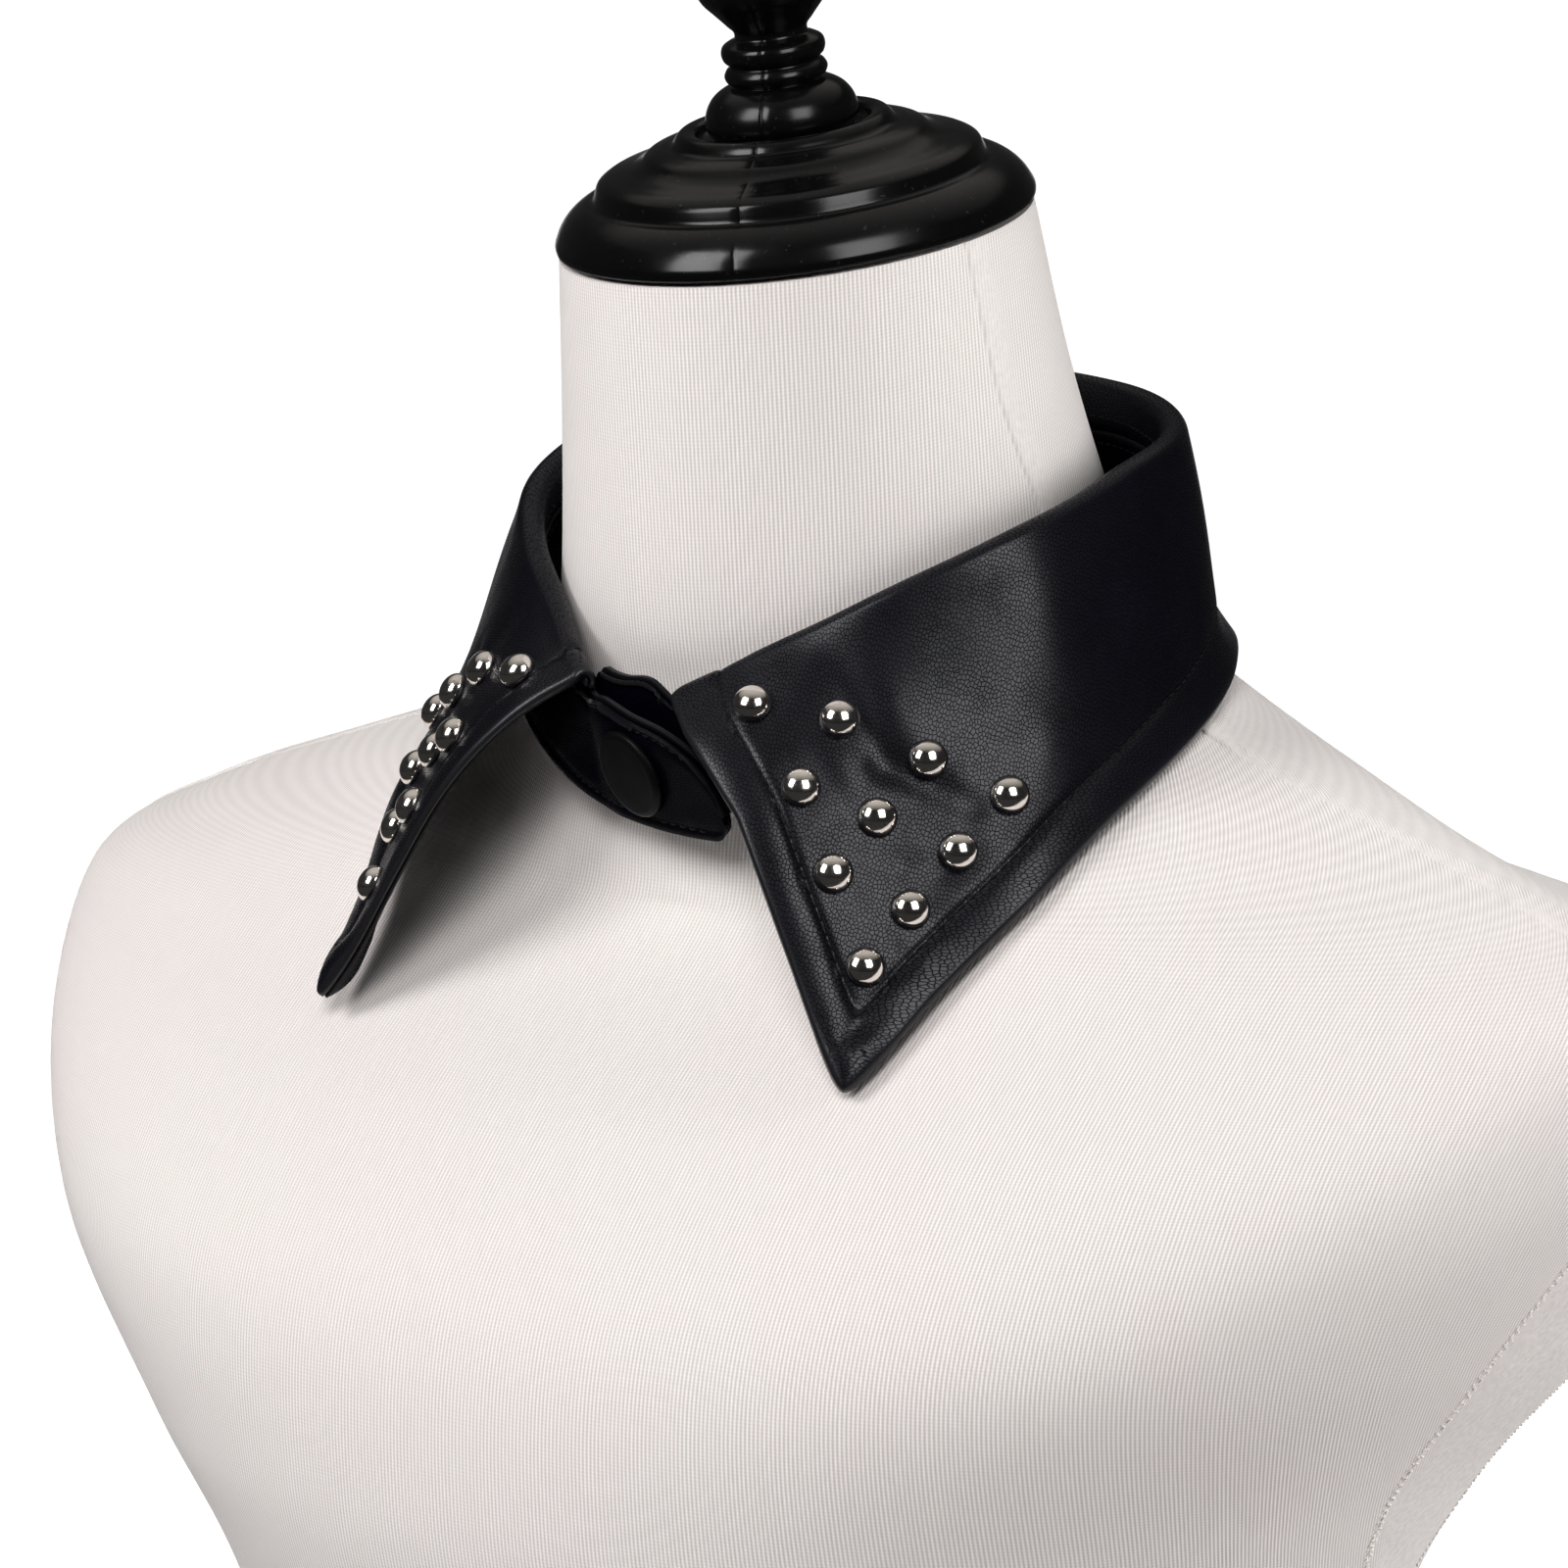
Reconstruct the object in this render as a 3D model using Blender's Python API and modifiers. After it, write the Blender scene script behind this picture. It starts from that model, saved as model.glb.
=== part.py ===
"""Detachable pointed shirt collar of black coated leather with silver dome studs, worn by a
limbless table-top dress form with a turned neck cap and finial.

Metres, +Z up. The form faces -Y, +X is the wearer's left, and the origin is the bottom centre of
the form's flat base. The tables are in millimetres and degrees. Their heights are measured from
the collar's datum, the level of the collar's fold near the front, COLLAR_DATUM above the base.

The collar is cut from four pieces. The fall, the part with the points, has an outer ply that rolls
over the fold down to the neck side, and an under ply inside it. The band, or stand, goes round the
neck below the fold. It has an inner and an outer ply too, and its ends lap at the front as two tabs
that a snap closes.
"""

import math

import bpy
import numpy as np
from mathutils import Matrix, Vector

MM = 0.001

# Driving dimensions
COLLAR_DATUM = 330 * MM  # the base to the collar's datum
COLLAR_TILT = math.radians(1.8)  # the wearer's left side of the collar lies lower
COLLAR_AXIS_Y = 10 * MM  # the collar's tables go round this upright axis
PLY = 1.0 * MM  # one cut piece of coated leather
SEAM_GAP = 0.3 * MM  # between two pieces that touch
BAND_TOP_GAP = 0.6 * MM  # the band leans, so its wall's upper corner lies nearer the seam
STUD_DIAMETER = 8.0 * MM
STUD_HEIGHT = 3.4 * MM
SNAP_SOCKET_DIAMETER = 10.0 * MM
SNAP_SOCKET_HEIGHT = 1.4 * MM
SNAP_BORE_DIAMETER = 4.2 * MM
SNAP_BALL_DIAMETER = 3.4 * MM
SNAP_FLANGE_HEIGHT = 0.5 * MM
SNAP_SEAT = 0.5 * MM  # a snap piece off its leather
SNAP_CAP_SEAT = 0.8 * MM
SNAP_STUD_SEAT = 0.9 * MM  # the tabs aren't parallel, so the stud's rim is nearer than this
NECK_LEAN = math.radians(12.2)  # the form's neck leans forward
NECK_AXIS_Y = 2.2 * MM  # where the neck's axis crosses the datum's level
HEM_KICK_FROM = 0.84  # below this share of the fall its turned edge stands outwards

# The fall. Turn is counted from the front round the wearer's left side; the right side mirrors it.
# fold: the crest of the roll. seam_drop: crest down to the seam with the band. roll: outer radius
# of the roll. swell: how far the leaf bows outwards. kick: how far its hem stands out.
FALL_COLUMNS = "fold_turn fold_reach fold_height seam_drop roll hem_turn hem_reach hem_height swell kick"
FALL_ROWS = [
    ("front edge",   9.5, 81.5, -13.0,  4.0, 2.8,  36.0, 123.0, -90.0,  8.5, 0.0),
    ("point",       26.5, 74.0,  -1.0,  6.5, 3.1,  46.0, 110.5, -70.0,  4.0, 0.0),
    ("point back",  44.0, 74.0,  11.0,  9.0, 3.2,  58.0, 105.0, -51.0, -1.0, 1.0),
    ("front side",  63.0, 74.0,  22.0, 10.0, 3.2,  71.0,  98.0, -35.6,  1.0, 2.0),
    ("side",        89.0, 69.5,  33.0, 10.5, 3.2,  90.5,  91.4, -20.9,  1.0, 3.0),
    ("rear side",  116.0, 67.5,  39.0, 10.5, 3.2, 114.5,  84.0, -11.6,  0.5, 3.5),
    ("rear",       147.0, 60.5,  44.0, 11.0, 3.2, 146.5,  81.0,  -9.0,  0.5, 4.0),
    ("centre back", 180.0, 52.5,  45.5, 12.5, 3.2, 180.0,  76.0, -11.0,  1.0, 4.0),
]

# The band's lower edge, a row for each row of the fall. Its upper edge is the fall's seam.
BAND_COLUMNS = "turn reach height"
BAND_ROWS = [
    ("front edge",    9.5, 72.5, -42.0),
    ("point",        26.5, 72.0, -36.5),
    ("point back",   44.0, 73.0, -29.0),
    ("front side",   63.0, 75.0, -19.5),
    ("side",         89.0, 74.5,  -9.5),
    ("rear side",   116.0, 71.0,  -3.0),
    ("rear",        147.0, 64.0,   2.0),
    ("centre back", 180.0, 58.5,   3.0),
]

# The two tabs, from the fall's front edge to the tab's end, as the neck side of their walls.
TAB_COLUMNS = "top_turn top_reach top_height low_turn low_reach low_height"
UNDER_TAB_ROWS = [  # from the wearer's left
    ("lap",      3.0, 79.0, -12.8,   3.0, 71.0, -41.8),
    ("middle",  -2.5, 78.0, -12.9,  -2.5, 70.0, -41.3),
    ("beyond",  -7.0, 76.2, -12.6,  -7.0, 69.4, -40.8),
    ("end",    -11.5, 74.5, -11.4, -11.5, 69.0, -40.3),
]
OVER_TAB_ROWS = [  # from the wearer's right
    ("lap",     -3.5, 82.8, -17.5,  -3.5, 74.6, -43.2),
    ("middle",   3.5, 86.5, -19.6,   3.5, 75.6, -44.0),
    ("beyond",  10.5, 89.8, -21.4,  10.5, 76.8, -44.4),
    ("end",     17.5, 92.5, -22.6,  17.5, 78.3, -44.6),
]
UNDER_TAB_CORNERS = (5 * MM, 4 * MM)  # top and bottom
OVER_TAB_CORNERS = (17 * MM, 4 * MM)
SNAP_TURN = math.radians(1.5)
SNAP_DROP = 0.53  # share of the over tab's height from its top
SNAP_UNDER_DROP = 0.58  # the same on the under tab, which reaches higher

# The dome studs: rows back from the front edge, and share of the fall from the fold to the hem.
STUD_COLUMNS = "back_rows down_share"
STUD_ROWS = [
    ("first row 1",  0.44, 0.11),
    ("first row 2",  1.06, 0.25),
    ("first row 3",  1.61, 0.47),
    ("first row 4",  2.10, 0.70),
    ("second row 1", 0.54, 0.36),
    ("second row 2", 1.05, 0.53),
    ("second row 3", 1.55, 0.74),
    ("third row 1",  0.54, 0.58),
    ("third row 2",  1.03, 0.78),
    ("fourth row 1", 0.52, 0.81),
]

# The dress form: rings from the neck down. Each has its own centre, forward lean and outline, a
# circle's equation with the power given by its fullness (2 is an ellipse, more is squarer).
FORM_COLUMNS = "height middle lean half_width front back front_fullness back_fullness"
FORM_ROWS = [
    ("neck top",       80, -15.3, 12.2,  51.5,  52,  52, 2.0, 2.0),
    ("neck middle",    45,  -7.5, 14.0,  56.0,  57,  53, 2.0, 2.0),
    ("neck low",       13,   0.0, 15.0,  61.5,  62,  57, 2.0, 2.0),
    ("neck root",     -11,   5.0, 17.0,  70.0,  63,  62, 2.0, 1.9),
    ("slope",         -29,   7.0, 18.0,  93.0,  68,  69, 1.9, 1.8),
    ("slope low",     -42,   6.0, 15.5, 142.0,  66,  71, 1.9, 1.5),
    ("shoulder",      -55,   6.0,  9.5, 184.0,  66,  75, 2.2, 1.4),
    ("shoulder low",  -72,   7.0,  5.0, 214.0,  78,  87, 2.4, 2.1),
    ("arm",          -105,   5.0,  1.0, 207.0, 108,  96, 2.6, 2.6),
    ("arm low",      -145,   2.0, -2.0, 183.0, 131,  98, 2.6, 2.6),
    ("underarm",     -181,   0.0,  0.0, 154.0, 133,  93, 2.4, 2.4),
    ("bust",         -215,   0.0,  0.0, 136.0, 125,  88, 2.2, 2.2),
    ("under bust",   -266,   0.0,  0.0, 125.0, 106,  81, 2.1, 2.1),
    ("waist",        -330,   0.0,  0.0, 113.0,  88,  74, 2.0, 2.0),
]

# Turned profiles: radius and height, from the top down. The snap cap's height is from its own seat,
# the others' along the neck's axis.
SNAP_CAP_PROFILE = [(0, 2.2), (8.4, 2.1), (9.5, 1.6), (10.0, 0.8), (10.0, 0), (0, 0)]
CAP_PROFILE = [
    (0, 103.4), (18.8, 103.4), (19.4, 104.6), (22.2, 104.6), (23.0, 103.6), (27.0, 103.0),
    (30.0, 102.0), (31.2, 100.8), (32.0, 99.4), (34.5, 98.8), (38.0, 97.6), (41.0, 96.0),
    (42.4, 94.8), (42.7, 93.2), (44.6, 92.3), (47.0, 91.3), (49.6, 89.7), (51.5, 87.3),
    (52.4, 84.8), (52.1, 83.1), (50.8, 82.6), (0, 82.6),
]
FINIAL_PROFILE = [
    (0, 151.0), (4.5, 150.6), (8.5, 149.2), (12.0, 146.6), (14.2, 143.0), (15.0, 139.0),
    (14.6, 135.5), (13.2, 132.6), (10.6, 130.0), (8.6, 127.0), (7.7, 125.0), (8.0, 124.1),
    (9.4, 123.4), (10.9, 122.4), (11.3, 120.9), (10.8, 119.3), (9.8, 118.3), (10.6, 117.4),
    (11.2, 116.1), (10.8, 114.9), (9.8, 114.0), (11.2, 113.4), (13.8, 111.8), (15.7, 109.2),
    (16.5, 106.6), (16.5, 105.2), (16.0, 104.0), (15.4, 103.7), (0, 103.7),
]

# Mesh steps
FALL_STATIONS = 20  # from the front edge to the centre back
INNER_STEPS = 2  # rows of faces from the seam up to the roll
ROLL_STEPS = 6
LEAF_STEPS = 7
HEM_STEPS = 2
BAND_STEPS = 3
TAB_STEPS = 6
FORM_LEVELS = 30
FORM_SIDES = 40
CAP_STEPS = 28
FINIAL_STEPS = 18
STUD_STEPS = 12


# Numbers

def read_table(columns, rows):
    """The columns by name, with lengths in metres and angles in radians."""
    table = {}
    for place, name in enumerate(columns.split()):
        values = np.array([row[place + 1] for row in rows], float)
        if name.endswith(("turn", "lean")):
            values = np.radians(values)
        elif not name.endswith(("fullness", "share", "rows")):
            values = values * MM
        table[name] = values
    return table


def through(knots, values, at):
    """A smooth curve through the rows: cubic pieces, with each row's slope from its neighbours."""
    slope = np.gradient(values, knots, axis=0)
    piece = np.clip(np.searchsorted(knots, at, side="right") - 1, 0, len(knots) - 2)
    width = knots[piece + 1] - knots[piece]
    t = (at - knots[piece]) / width
    if values.ndim == 2:
        t = t[:, None]
        width = width[:, None]
    start, end = values[piece], values[piece + 1]
    leave, arrive = slope[piece] * width, slope[piece + 1] * width
    return (
        (2 * t**3 - 3 * t**2 + 1) * start
        + (t**3 - 2 * t**2 + t) * leave
        + (3 * t**2 - 2 * t**3) * end
        + (t**3 - t**2) * arrive
    )


def polar(turn, reach, height):
    """A point at this reach from the collar's axis, turned from the front to the wearer's left."""
    return np.stack([reach * np.sin(turn), COLLAR_AXIS_Y - reach * np.cos(turn), height], -1)


def unit(vectors):
    return vectors / np.linalg.norm(vectors, axis=-1, keepdims=True)


def grid_normals(grid):
    """The normal at each point of a grid, to the side where rows turn into columns clockwise."""
    return unit(np.cross(np.gradient(grid, axis=1), np.gradient(grid, axis=0)))


# The fall

def half_round(columns, rows, at):
    """The table's values at these rows, and mirrored past the centre back so that it is smooth."""
    table = read_table(columns, rows)
    knots = np.arange(len(rows) + 1.0)
    values = {}
    for name, column in table.items():
        beyond = 2 * math.pi - column[-2] if name.endswith("turn") else column[-2]
        values[name] = through(knots, np.append(column, beyond), at)
    return values


def fold_frame(at):
    """The crest of the fold at these rows, with its level direction and the one square to it."""
    step = 0.15
    crest, before, after = (
        polar(row["fold_turn"], row["fold_reach"], row["fold_height"])
        for row in (half_round(FALL_COLUMNS, FALL_ROWS, at + shift) for shift in (0, -step, step))
    )
    along = after - before
    along[:, 2] = 0
    along = unit(along)
    outward = np.stack([along[:, 1], -along[:, 0], 0 * along[:, 0]], -1)
    return crest, along, outward


def fall_points(at, arc_shares=(), leg_shares=()):
    """The fall's outer face at these rows back from the front edge, as points [row, place].

    Each section is drawn in the upright plane square to the fold. It climbs from the seam, rolls
    over an arc, and runs down a leg whose bow is swell times t (1 - t)^2, at most at a third. The
    leg is pulled in by the kick down to the hem's turned edge, which comes out again.
    """
    row = half_round(FALL_COLUMNS, FALL_ROWS, at)
    crest, along, outward = fold_frame(at)
    up = np.array([0, 0, 1.0])
    roll = row["roll"][:, None]
    centre = crest - up * roll
    hem = polar(row["hem_turn"], row["hem_reach"], row["hem_height"]) - centre
    hem_out = (hem * outward).sum(1)
    hem_up = hem[:, 2]
    hem_along = (hem * along).sum(1)[:, None]
    # the leg leaves the arc where it is tangent to the line to the hem
    leave = np.arctan2(hem_up, hem_out) + np.arccos(row["roll"] / np.hypot(hem_out, hem_up))
    square = outward * np.cos(leave)[:, None] + up * np.sin(leave)[:, None]

    seam = crest - outward * roll - up * row["seam_drop"][:, None]
    climb = centre - outward * roll - seam
    points = [seam + climb * share for share in np.arange(INNER_STEPS) / INNER_STEPS] if len(arc_shares) else []
    for share in arc_shares:
        angle = math.pi + (leave - math.pi) * share
        points.append(centre + roll * (outward * np.cos(angle)[:, None] + up * np.sin(angle)[:, None]))
    start = centre + square * roll
    leg = centre + outward * hem_out[:, None] + up * hem_up[:, None] - start
    swell = row["swell"][:, None]
    kick = row["kick"][:, None]
    for t in leg_shares:
        turned = max(0.0, (t - HEM_KICK_FROM) / (1 - HEM_KICK_FROM)) ** 1.5
        pulled = min(t, HEM_KICK_FROM) - HEM_KICK_FROM * turned
        bow = swell * 6.75 * t * (1 - t) ** 2 - kick * pulled
        points.append(start + (leg + along * hem_along) * t + square * bow)
    return np.stack(points, axis=1)


def both_sides(half):
    """A grid from the wearer's left front edge round the back to the right front edge."""
    return np.concatenate([half, half[-2::-1] * [-1, 1, 1]])


def fall_grid():
    at = np.linspace(0, len(FALL_ROWS) - 1, FALL_STATIONS + 1)
    arc = np.arange(ROLL_STEPS) / ROLL_STEPS
    leaf = np.linspace(0, HEM_KICK_FROM, LEAF_STEPS + 1)[:-1]
    hem = np.linspace(HEM_KICK_FROM, 1, HEM_STEPS + 1)
    return both_sides(fall_points(at, arc, np.append(leaf, hem)))


def stud_seats():
    """Each stud's point on the wearer's left of the fall, with the normal there."""
    small = 0.02
    seats = []
    table = read_table(STUD_COLUMNS, STUD_ROWS)
    for back, down in zip(table["back_rows"], table["down_share"]):
        patch = fall_points(back + small * np.array([-1.0, 0, 1]), (), down + small * np.array([-1, 0, 1]))
        seats.append((patch[1, 1], grid_normals(patch)[1, 1]))
    return seats


# The band

def tab_edges(rows, corners, joint, before):
    """The top and bottom edge of a tab, from the fall's front edge to its rounded end.

    joint and before are (top, bottom) points of the band at the front edge and a little before it.
    Near the end each edge comes in by r - sqrt(r^2 - (r - e)^2), a quarter circle, where r is the
    corner's radius and e is how far the end still is.
    """
    row = read_table(TAB_COLUMNS, rows)
    top = np.vstack([before[0], joint[0], polar(row["top_turn"], row["top_reach"], row["top_height"])])
    low = np.vstack([before[1], joint[1], polar(row["low_turn"], row["low_reach"], row["low_height"])])
    knots = np.arange(-1.0, len(rows) + 1)
    at = len(rows) * (1 - (1 - np.arange(1, TAB_STEPS + 1) / TAB_STEPS) ** 1.3)
    top, low = through(knots, top, at), through(knots, low, at)
    to_end = np.linalg.norm(top - top[-1], axis=1)
    down = unit(low - top)
    for edge, way, radius in ((top, down, corners[0]), (low, -down, corners[1])):
        left = np.clip(radius - to_end, 0, radius)[:, None]
        edge += way * (radius - np.sqrt(radius**2 - left**2))
    return top, low


def band_grid():
    """The band's neck side: [place round the neck, place down], with the wearer's left end first."""
    at = np.linspace(0, len(FALL_ROWS) - 1, FALL_STATIONS + 1)
    low_row = half_round(BAND_COLUMNS, BAND_ROWS, at)
    low = both_sides(polar(low_row["turn"], low_row["reach"], low_row["height"])[:, None])[:, 0]
    top = both_sides(fall_points(at, (0,)))[:, 0] - [0, 0, BAND_TOP_GAP]
    left_top, left_low = tab_edges(UNDER_TAB_ROWS, UNDER_TAB_CORNERS, (top[0], low[0]), (top[1], low[1]))
    right_top, right_low = tab_edges(OVER_TAB_ROWS, OVER_TAB_CORNERS, (top[-1], low[-1]), (top[-2], low[-2]))
    top = np.concatenate([left_top[::-1], top, right_top])
    low = np.concatenate([left_low[::-1], low, right_low])
    down = np.linspace(0, 1, BAND_STEPS + 1)[:, None, None]
    return np.swapaxes(top + (low - top) * down, 0, 1)


def lower_top(grid, heights):
    """The grid with its first row slid down its sections to these heights, where it is higher."""
    over = np.clip(grid[:, 0, 2] - heights, 0, None)
    slide = (over / (grid[:, 0, 2] - grid[:, 1, 2]))[:, None]
    grid = grid.copy()
    grid[:, 0] += (grid[:, 1] - grid[:, 0]) * slide
    return grid


def tab_spot(rows, turn, drop):
    """A point of a tab's neck side, with the normal there away from the neck."""
    row = read_table(TAB_COLUMNS, rows)
    way = math.copysign(1, rows[-1][1] - rows[0][1])
    small = 0.02
    turns = way * (turn + small * np.array([-1.0, 0, 1]))
    shares = np.array([drop - small, drop, drop + small])[:, None, None]
    top = through(way * row["top_turn"], polar(row["top_turn"], row["top_reach"], row["top_height"]), turns)
    low = through(way * row["low_turn"], polar(row["low_turn"], row["low_reach"], row["low_height"]), turns)
    patch = np.swapaxes(top + (low - top) * shares, 0, 1)
    return patch[1, 1], grid_normals(patch)[1, 1]


# Blender objects

def material(name, colour, roughness, metallic=0.0):
    finish = bpy.data.materials.new(name)
    finish.use_nodes = True
    shader = finish.node_tree.nodes["Principled BSDF"]
    shader.inputs["Base Color"].default_value = (*colour, 1)
    shader.inputs["Roughness"].default_value = roughness
    shader.inputs["Metallic"].default_value = metallic
    finish.diffuse_color = (*colour, 1)
    return finish


def put(name, mesh, finish, parent):
    mesh.materials.clear()
    mesh.materials.append(finish)
    mesh.shade_smooth()
    made = bpy.data.objects.new(name, mesh)
    made.parent = parent
    PARTS.objects.link(made)
    return made


def grid_mesh(name, grid, closed=False):
    """A mesh of four-sided faces on a grid of points, joined round its second way if closed."""
    rows, places = grid.shape[:2]
    index = np.arange(rows * places).reshape(rows, places)
    if closed:
        index = np.hstack([index, index[:, :1]])
    corners = [index[:-1, :-1], index[:-1, 1:], index[1:, 1:], index[1:, :-1]]
    faces = np.stack(corners, -1).reshape(-1, 4).tolist()
    if closed:
        faces += [index[0, -2::-1].tolist(), index[-1, :-1].tolist()]
    mesh = bpy.data.meshes.new(name)
    mesh.from_pydata(grid.reshape(-1, 3).tolist(), [], faces)
    mesh.update()
    return mesh


def leather_piece(name, face, finish):
    """A wall one ply thick behind the face that the grid gives."""
    piece = put(name, grid_mesh(name, face), finish, COLLAR)
    wall = piece.modifiers.new("ply", "SOLIDIFY")
    wall.thickness = PLY
    wall.offset = -1
    wall.use_even_offset = True
    piece.data.set_sharp_from_angle(angle=math.radians(50))
    return piece


def inset(grid, depth):
    """The grid moved in behind its face."""
    return grid - grid_normals(grid) * depth


def turned_mesh(name, profile, steps):
    """A closed turned solid. The profile runs from the top down its outer side, at +X."""
    outline = bpy.data.meshes.new(name + "_profile")
    points = [(radius, 0, height) for radius, height in profile]
    outline.from_pydata(points, [(i, i + 1) for i in range(len(points) - 1)], [])
    carrier = bpy.data.objects.new(name + "_profile", outline)
    bpy.context.scene.collection.objects.link(carrier)
    screw = carrier.modifiers.new("turn", "SCREW")
    screw.steps = steps
    screw.render_steps = steps
    screw.use_merge_vertices = True
    screw.merge_threshold = 0.01 * MM
    mesh = bpy.data.meshes.new_from_object(
        carrier.evaluated_get(bpy.context.evaluated_depsgraph_get())
    )
    mesh.name = name
    bpy.data.objects.remove(carrier)
    bpy.data.meshes.remove(outline)
    return mesh


def metres(profile):
    return [(radius * MM, height * MM) for radius, height in profile]


def stand_on(piece, point, normal):
    """Moves the piece so that its own Z axis stands on the point, along the normal."""
    turn = Vector(normal).to_track_quat("Z", "Y").to_matrix().to_4x4()
    piece.matrix_local = Matrix.Translation(Vector(point)) @ turn


# Pieces

def make_fall(leather):
    face = fall_grid()
    leather_piece("upper_collar", face, leather)
    leather_piece("under_collar", inset(face, PLY + SEAM_GAP), leather)


def make_band(leather):
    neck_face = band_grid()[::-1]
    leather_piece("band_inner", neck_face, leather)
    outer = lower_top(inset(neck_face, PLY + SEAM_GAP), neck_face[:, 0, 2] - SEAM_GAP)
    leather_piece("band_outer", outer, leather)


def dome(radius, height, steps):
    """A low dome on a flat base: a part of a sphere, from its top to its rim."""
    sphere = (radius**2 + height**2) / (2 * height)
    widest = math.asin(radius / sphere)
    rise = [widest * share / steps for share in range(steps + 1)]
    arc = [(sphere * math.sin(a), sphere * math.cos(a) - sphere + height) for a in rise]
    return arc[:-1] + [(radius, 0.0), (0, 0)]


def make_studs(silver):
    mesh = turned_mesh("stud", dome(STUD_DIAMETER / 2, STUD_HEIGHT, 4), STUD_STEPS)
    for number, (point, normal) in enumerate(stud_seats(), start=1):
        for side, mirror in (("left", 1), ("right", -1)):
            seat = (point + normal * SEAM_GAP) * [mirror, 1, 1]
            stud = put(f"stud_{side}_{number:02d}", mesh, silver, COLLAR)
            stand_on(stud, seat, normal * [mirror, 1, 1])


def make_snap(gunmetal):
    """The snap: a cap outside the over tab, its socket and stud between the tabs, and an eyelet."""
    over_point, over_normal = tab_spot(OVER_TAB_ROWS, SNAP_TURN, SNAP_DROP)
    under_point, under_normal = tab_spot(UNDER_TAB_ROWS, SNAP_TURN, SNAP_UNDER_DROP)
    wall = 2 * PLY + SEAM_GAP
    room = (over_point - under_point) @ over_normal - wall
    cap = metres(SNAP_CAP_PROFILE)
    disc, bore, ball = SNAP_SOCKET_DIAMETER / 2, SNAP_BORE_DIAMETER / 2, SNAP_BALL_DIAMETER / 2
    top, flange = SNAP_SOCKET_HEIGHT, SNAP_FLANGE_HEIGHT
    socket = [(disc, top), (disc, 0), (bore, 0), (bore, top), (disc, top)]
    stud = [(0, flange + top * 0.8), (ball, flange + top * 0.8), (ball, flange), (disc, flange), (disc, 0), (0, 0)]
    eyelet = [(0, flange), (bore * 2, flange), (bore * 2, 0), (0, 0)]
    seats = (
        ("snap_cap", cap, 28, over_point + over_normal * (wall + SNAP_CAP_SEAT), over_normal),
        ("snap_socket", socket, 20, over_point - over_normal * (SNAP_SEAT + top), over_normal),
        ("snap_stud", stud, 20, over_point - over_normal * (room - SNAP_STUD_SEAT), over_normal),
        ("snap_eyelet", eyelet, 20, under_point - under_normal * (SNAP_SEAT + flange), under_normal),
    )
    for name, profile, steps, point, normal in seats:
        piece = put(name, turned_mesh(name, profile, steps), gunmetal, COLLAR)
        piece.data.set_sharp_from_angle(angle=math.radians(40))
        stand_on(piece, point, normal)


def make_form(jersey):
    table = read_table(FORM_COLUMNS, FORM_ROWS)
    knots = np.arange(float(len(FORM_ROWS)))
    at = np.linspace(0, len(FORM_ROWS) - 1, FORM_LEVELS + 1)
    ring = {name: through(knots, column, at)[:, None] for name, column in table.items()}
    turn = np.linspace(0, 2 * math.pi, FORM_SIDES, endpoint=False)[None]
    side, front = np.sin(turn), -np.cos(turn)
    power = 2 / np.where(front < 0, ring["front_fullness"], ring["back_fullness"])
    depth = np.where(front < 0, ring["front"], ring["back"])
    x = ring["half_width"] * np.sign(side) * np.abs(side) ** power
    y = depth * np.sign(front) * np.abs(front) ** power
    points = [x, ring["middle"] + y * np.cos(ring["lean"]), ring["height"] + y * np.sin(ring["lean"])]
    grid = np.stack(points, -1)
    form = put("dress_form", grid_mesh("dress_form", grid[:, ::-1], closed=True), jersey, None)
    form.location.z = COLLAR_DATUM
    form.data.set_sharp_from_angle(angle=math.radians(60))


def make_neck_cap(lacquer):
    for name, profile, steps in (("neck_cap", CAP_PROFILE, CAP_STEPS), ("finial", FINIAL_PROFILE, FINIAL_STEPS)):
        piece = put(name, turned_mesh(name, metres(profile), steps), lacquer, NECK)
        piece.data.set_sharp_from_angle(angle=math.radians(40))


def empty(name, place, turn):
    made = bpy.data.objects.new(name, None)
    made.location = place
    made.rotation_euler = turn
    PARTS.objects.link(made)
    return made


for old in list(bpy.data.objects):
    bpy.data.objects.remove(old)
PARTS = bpy.data.collections.new("studded_shirt_collar")
bpy.context.scene.collection.children.link(PARTS)
COLLAR = empty("collar_seat", (0, 0, COLLAR_DATUM), (0, COLLAR_TILT, 0))
NECK = empty("neck_axis", (0, NECK_AXIS_Y, COLLAR_DATUM), (NECK_LEAN, 0, 0))

LEATHER = material("black_coated_leather", (0.012, 0.012, 0.016), 0.42)
SILVER = material("silver_stud", (0.85, 0.84, 0.82), 0.16, metallic=1.0)
GUNMETAL = material("dark_snap", (0.07, 0.07, 0.08), 0.35, metallic=0.6)
JERSEY = material("white_jersey", (0.80, 0.77, 0.76), 0.9)
LACQUER = material("black_lacquer", (0.015, 0.015, 0.018), 0.18)

make_fall(LEATHER)
make_band(LEATHER)
make_studs(SILVER)
make_snap(GUNMETAL)
make_form(JERSEY)
make_neck_cap(LACQUER)
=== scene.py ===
# %% [markdown]
# # A studded leather collar on its dress form
#
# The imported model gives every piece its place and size. This lesson gives each one its looks: coated
# leather with turned and stitched edges, domed studs, a snap, ribbed jersey and black lacquer.
# Lengths are in metres, +Z is up, the wearer faces -Y and +X is the wearer's left.

# %% The frame
import math

import bpy
import numpy as np
from mathutils import Matrix, Vector


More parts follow.
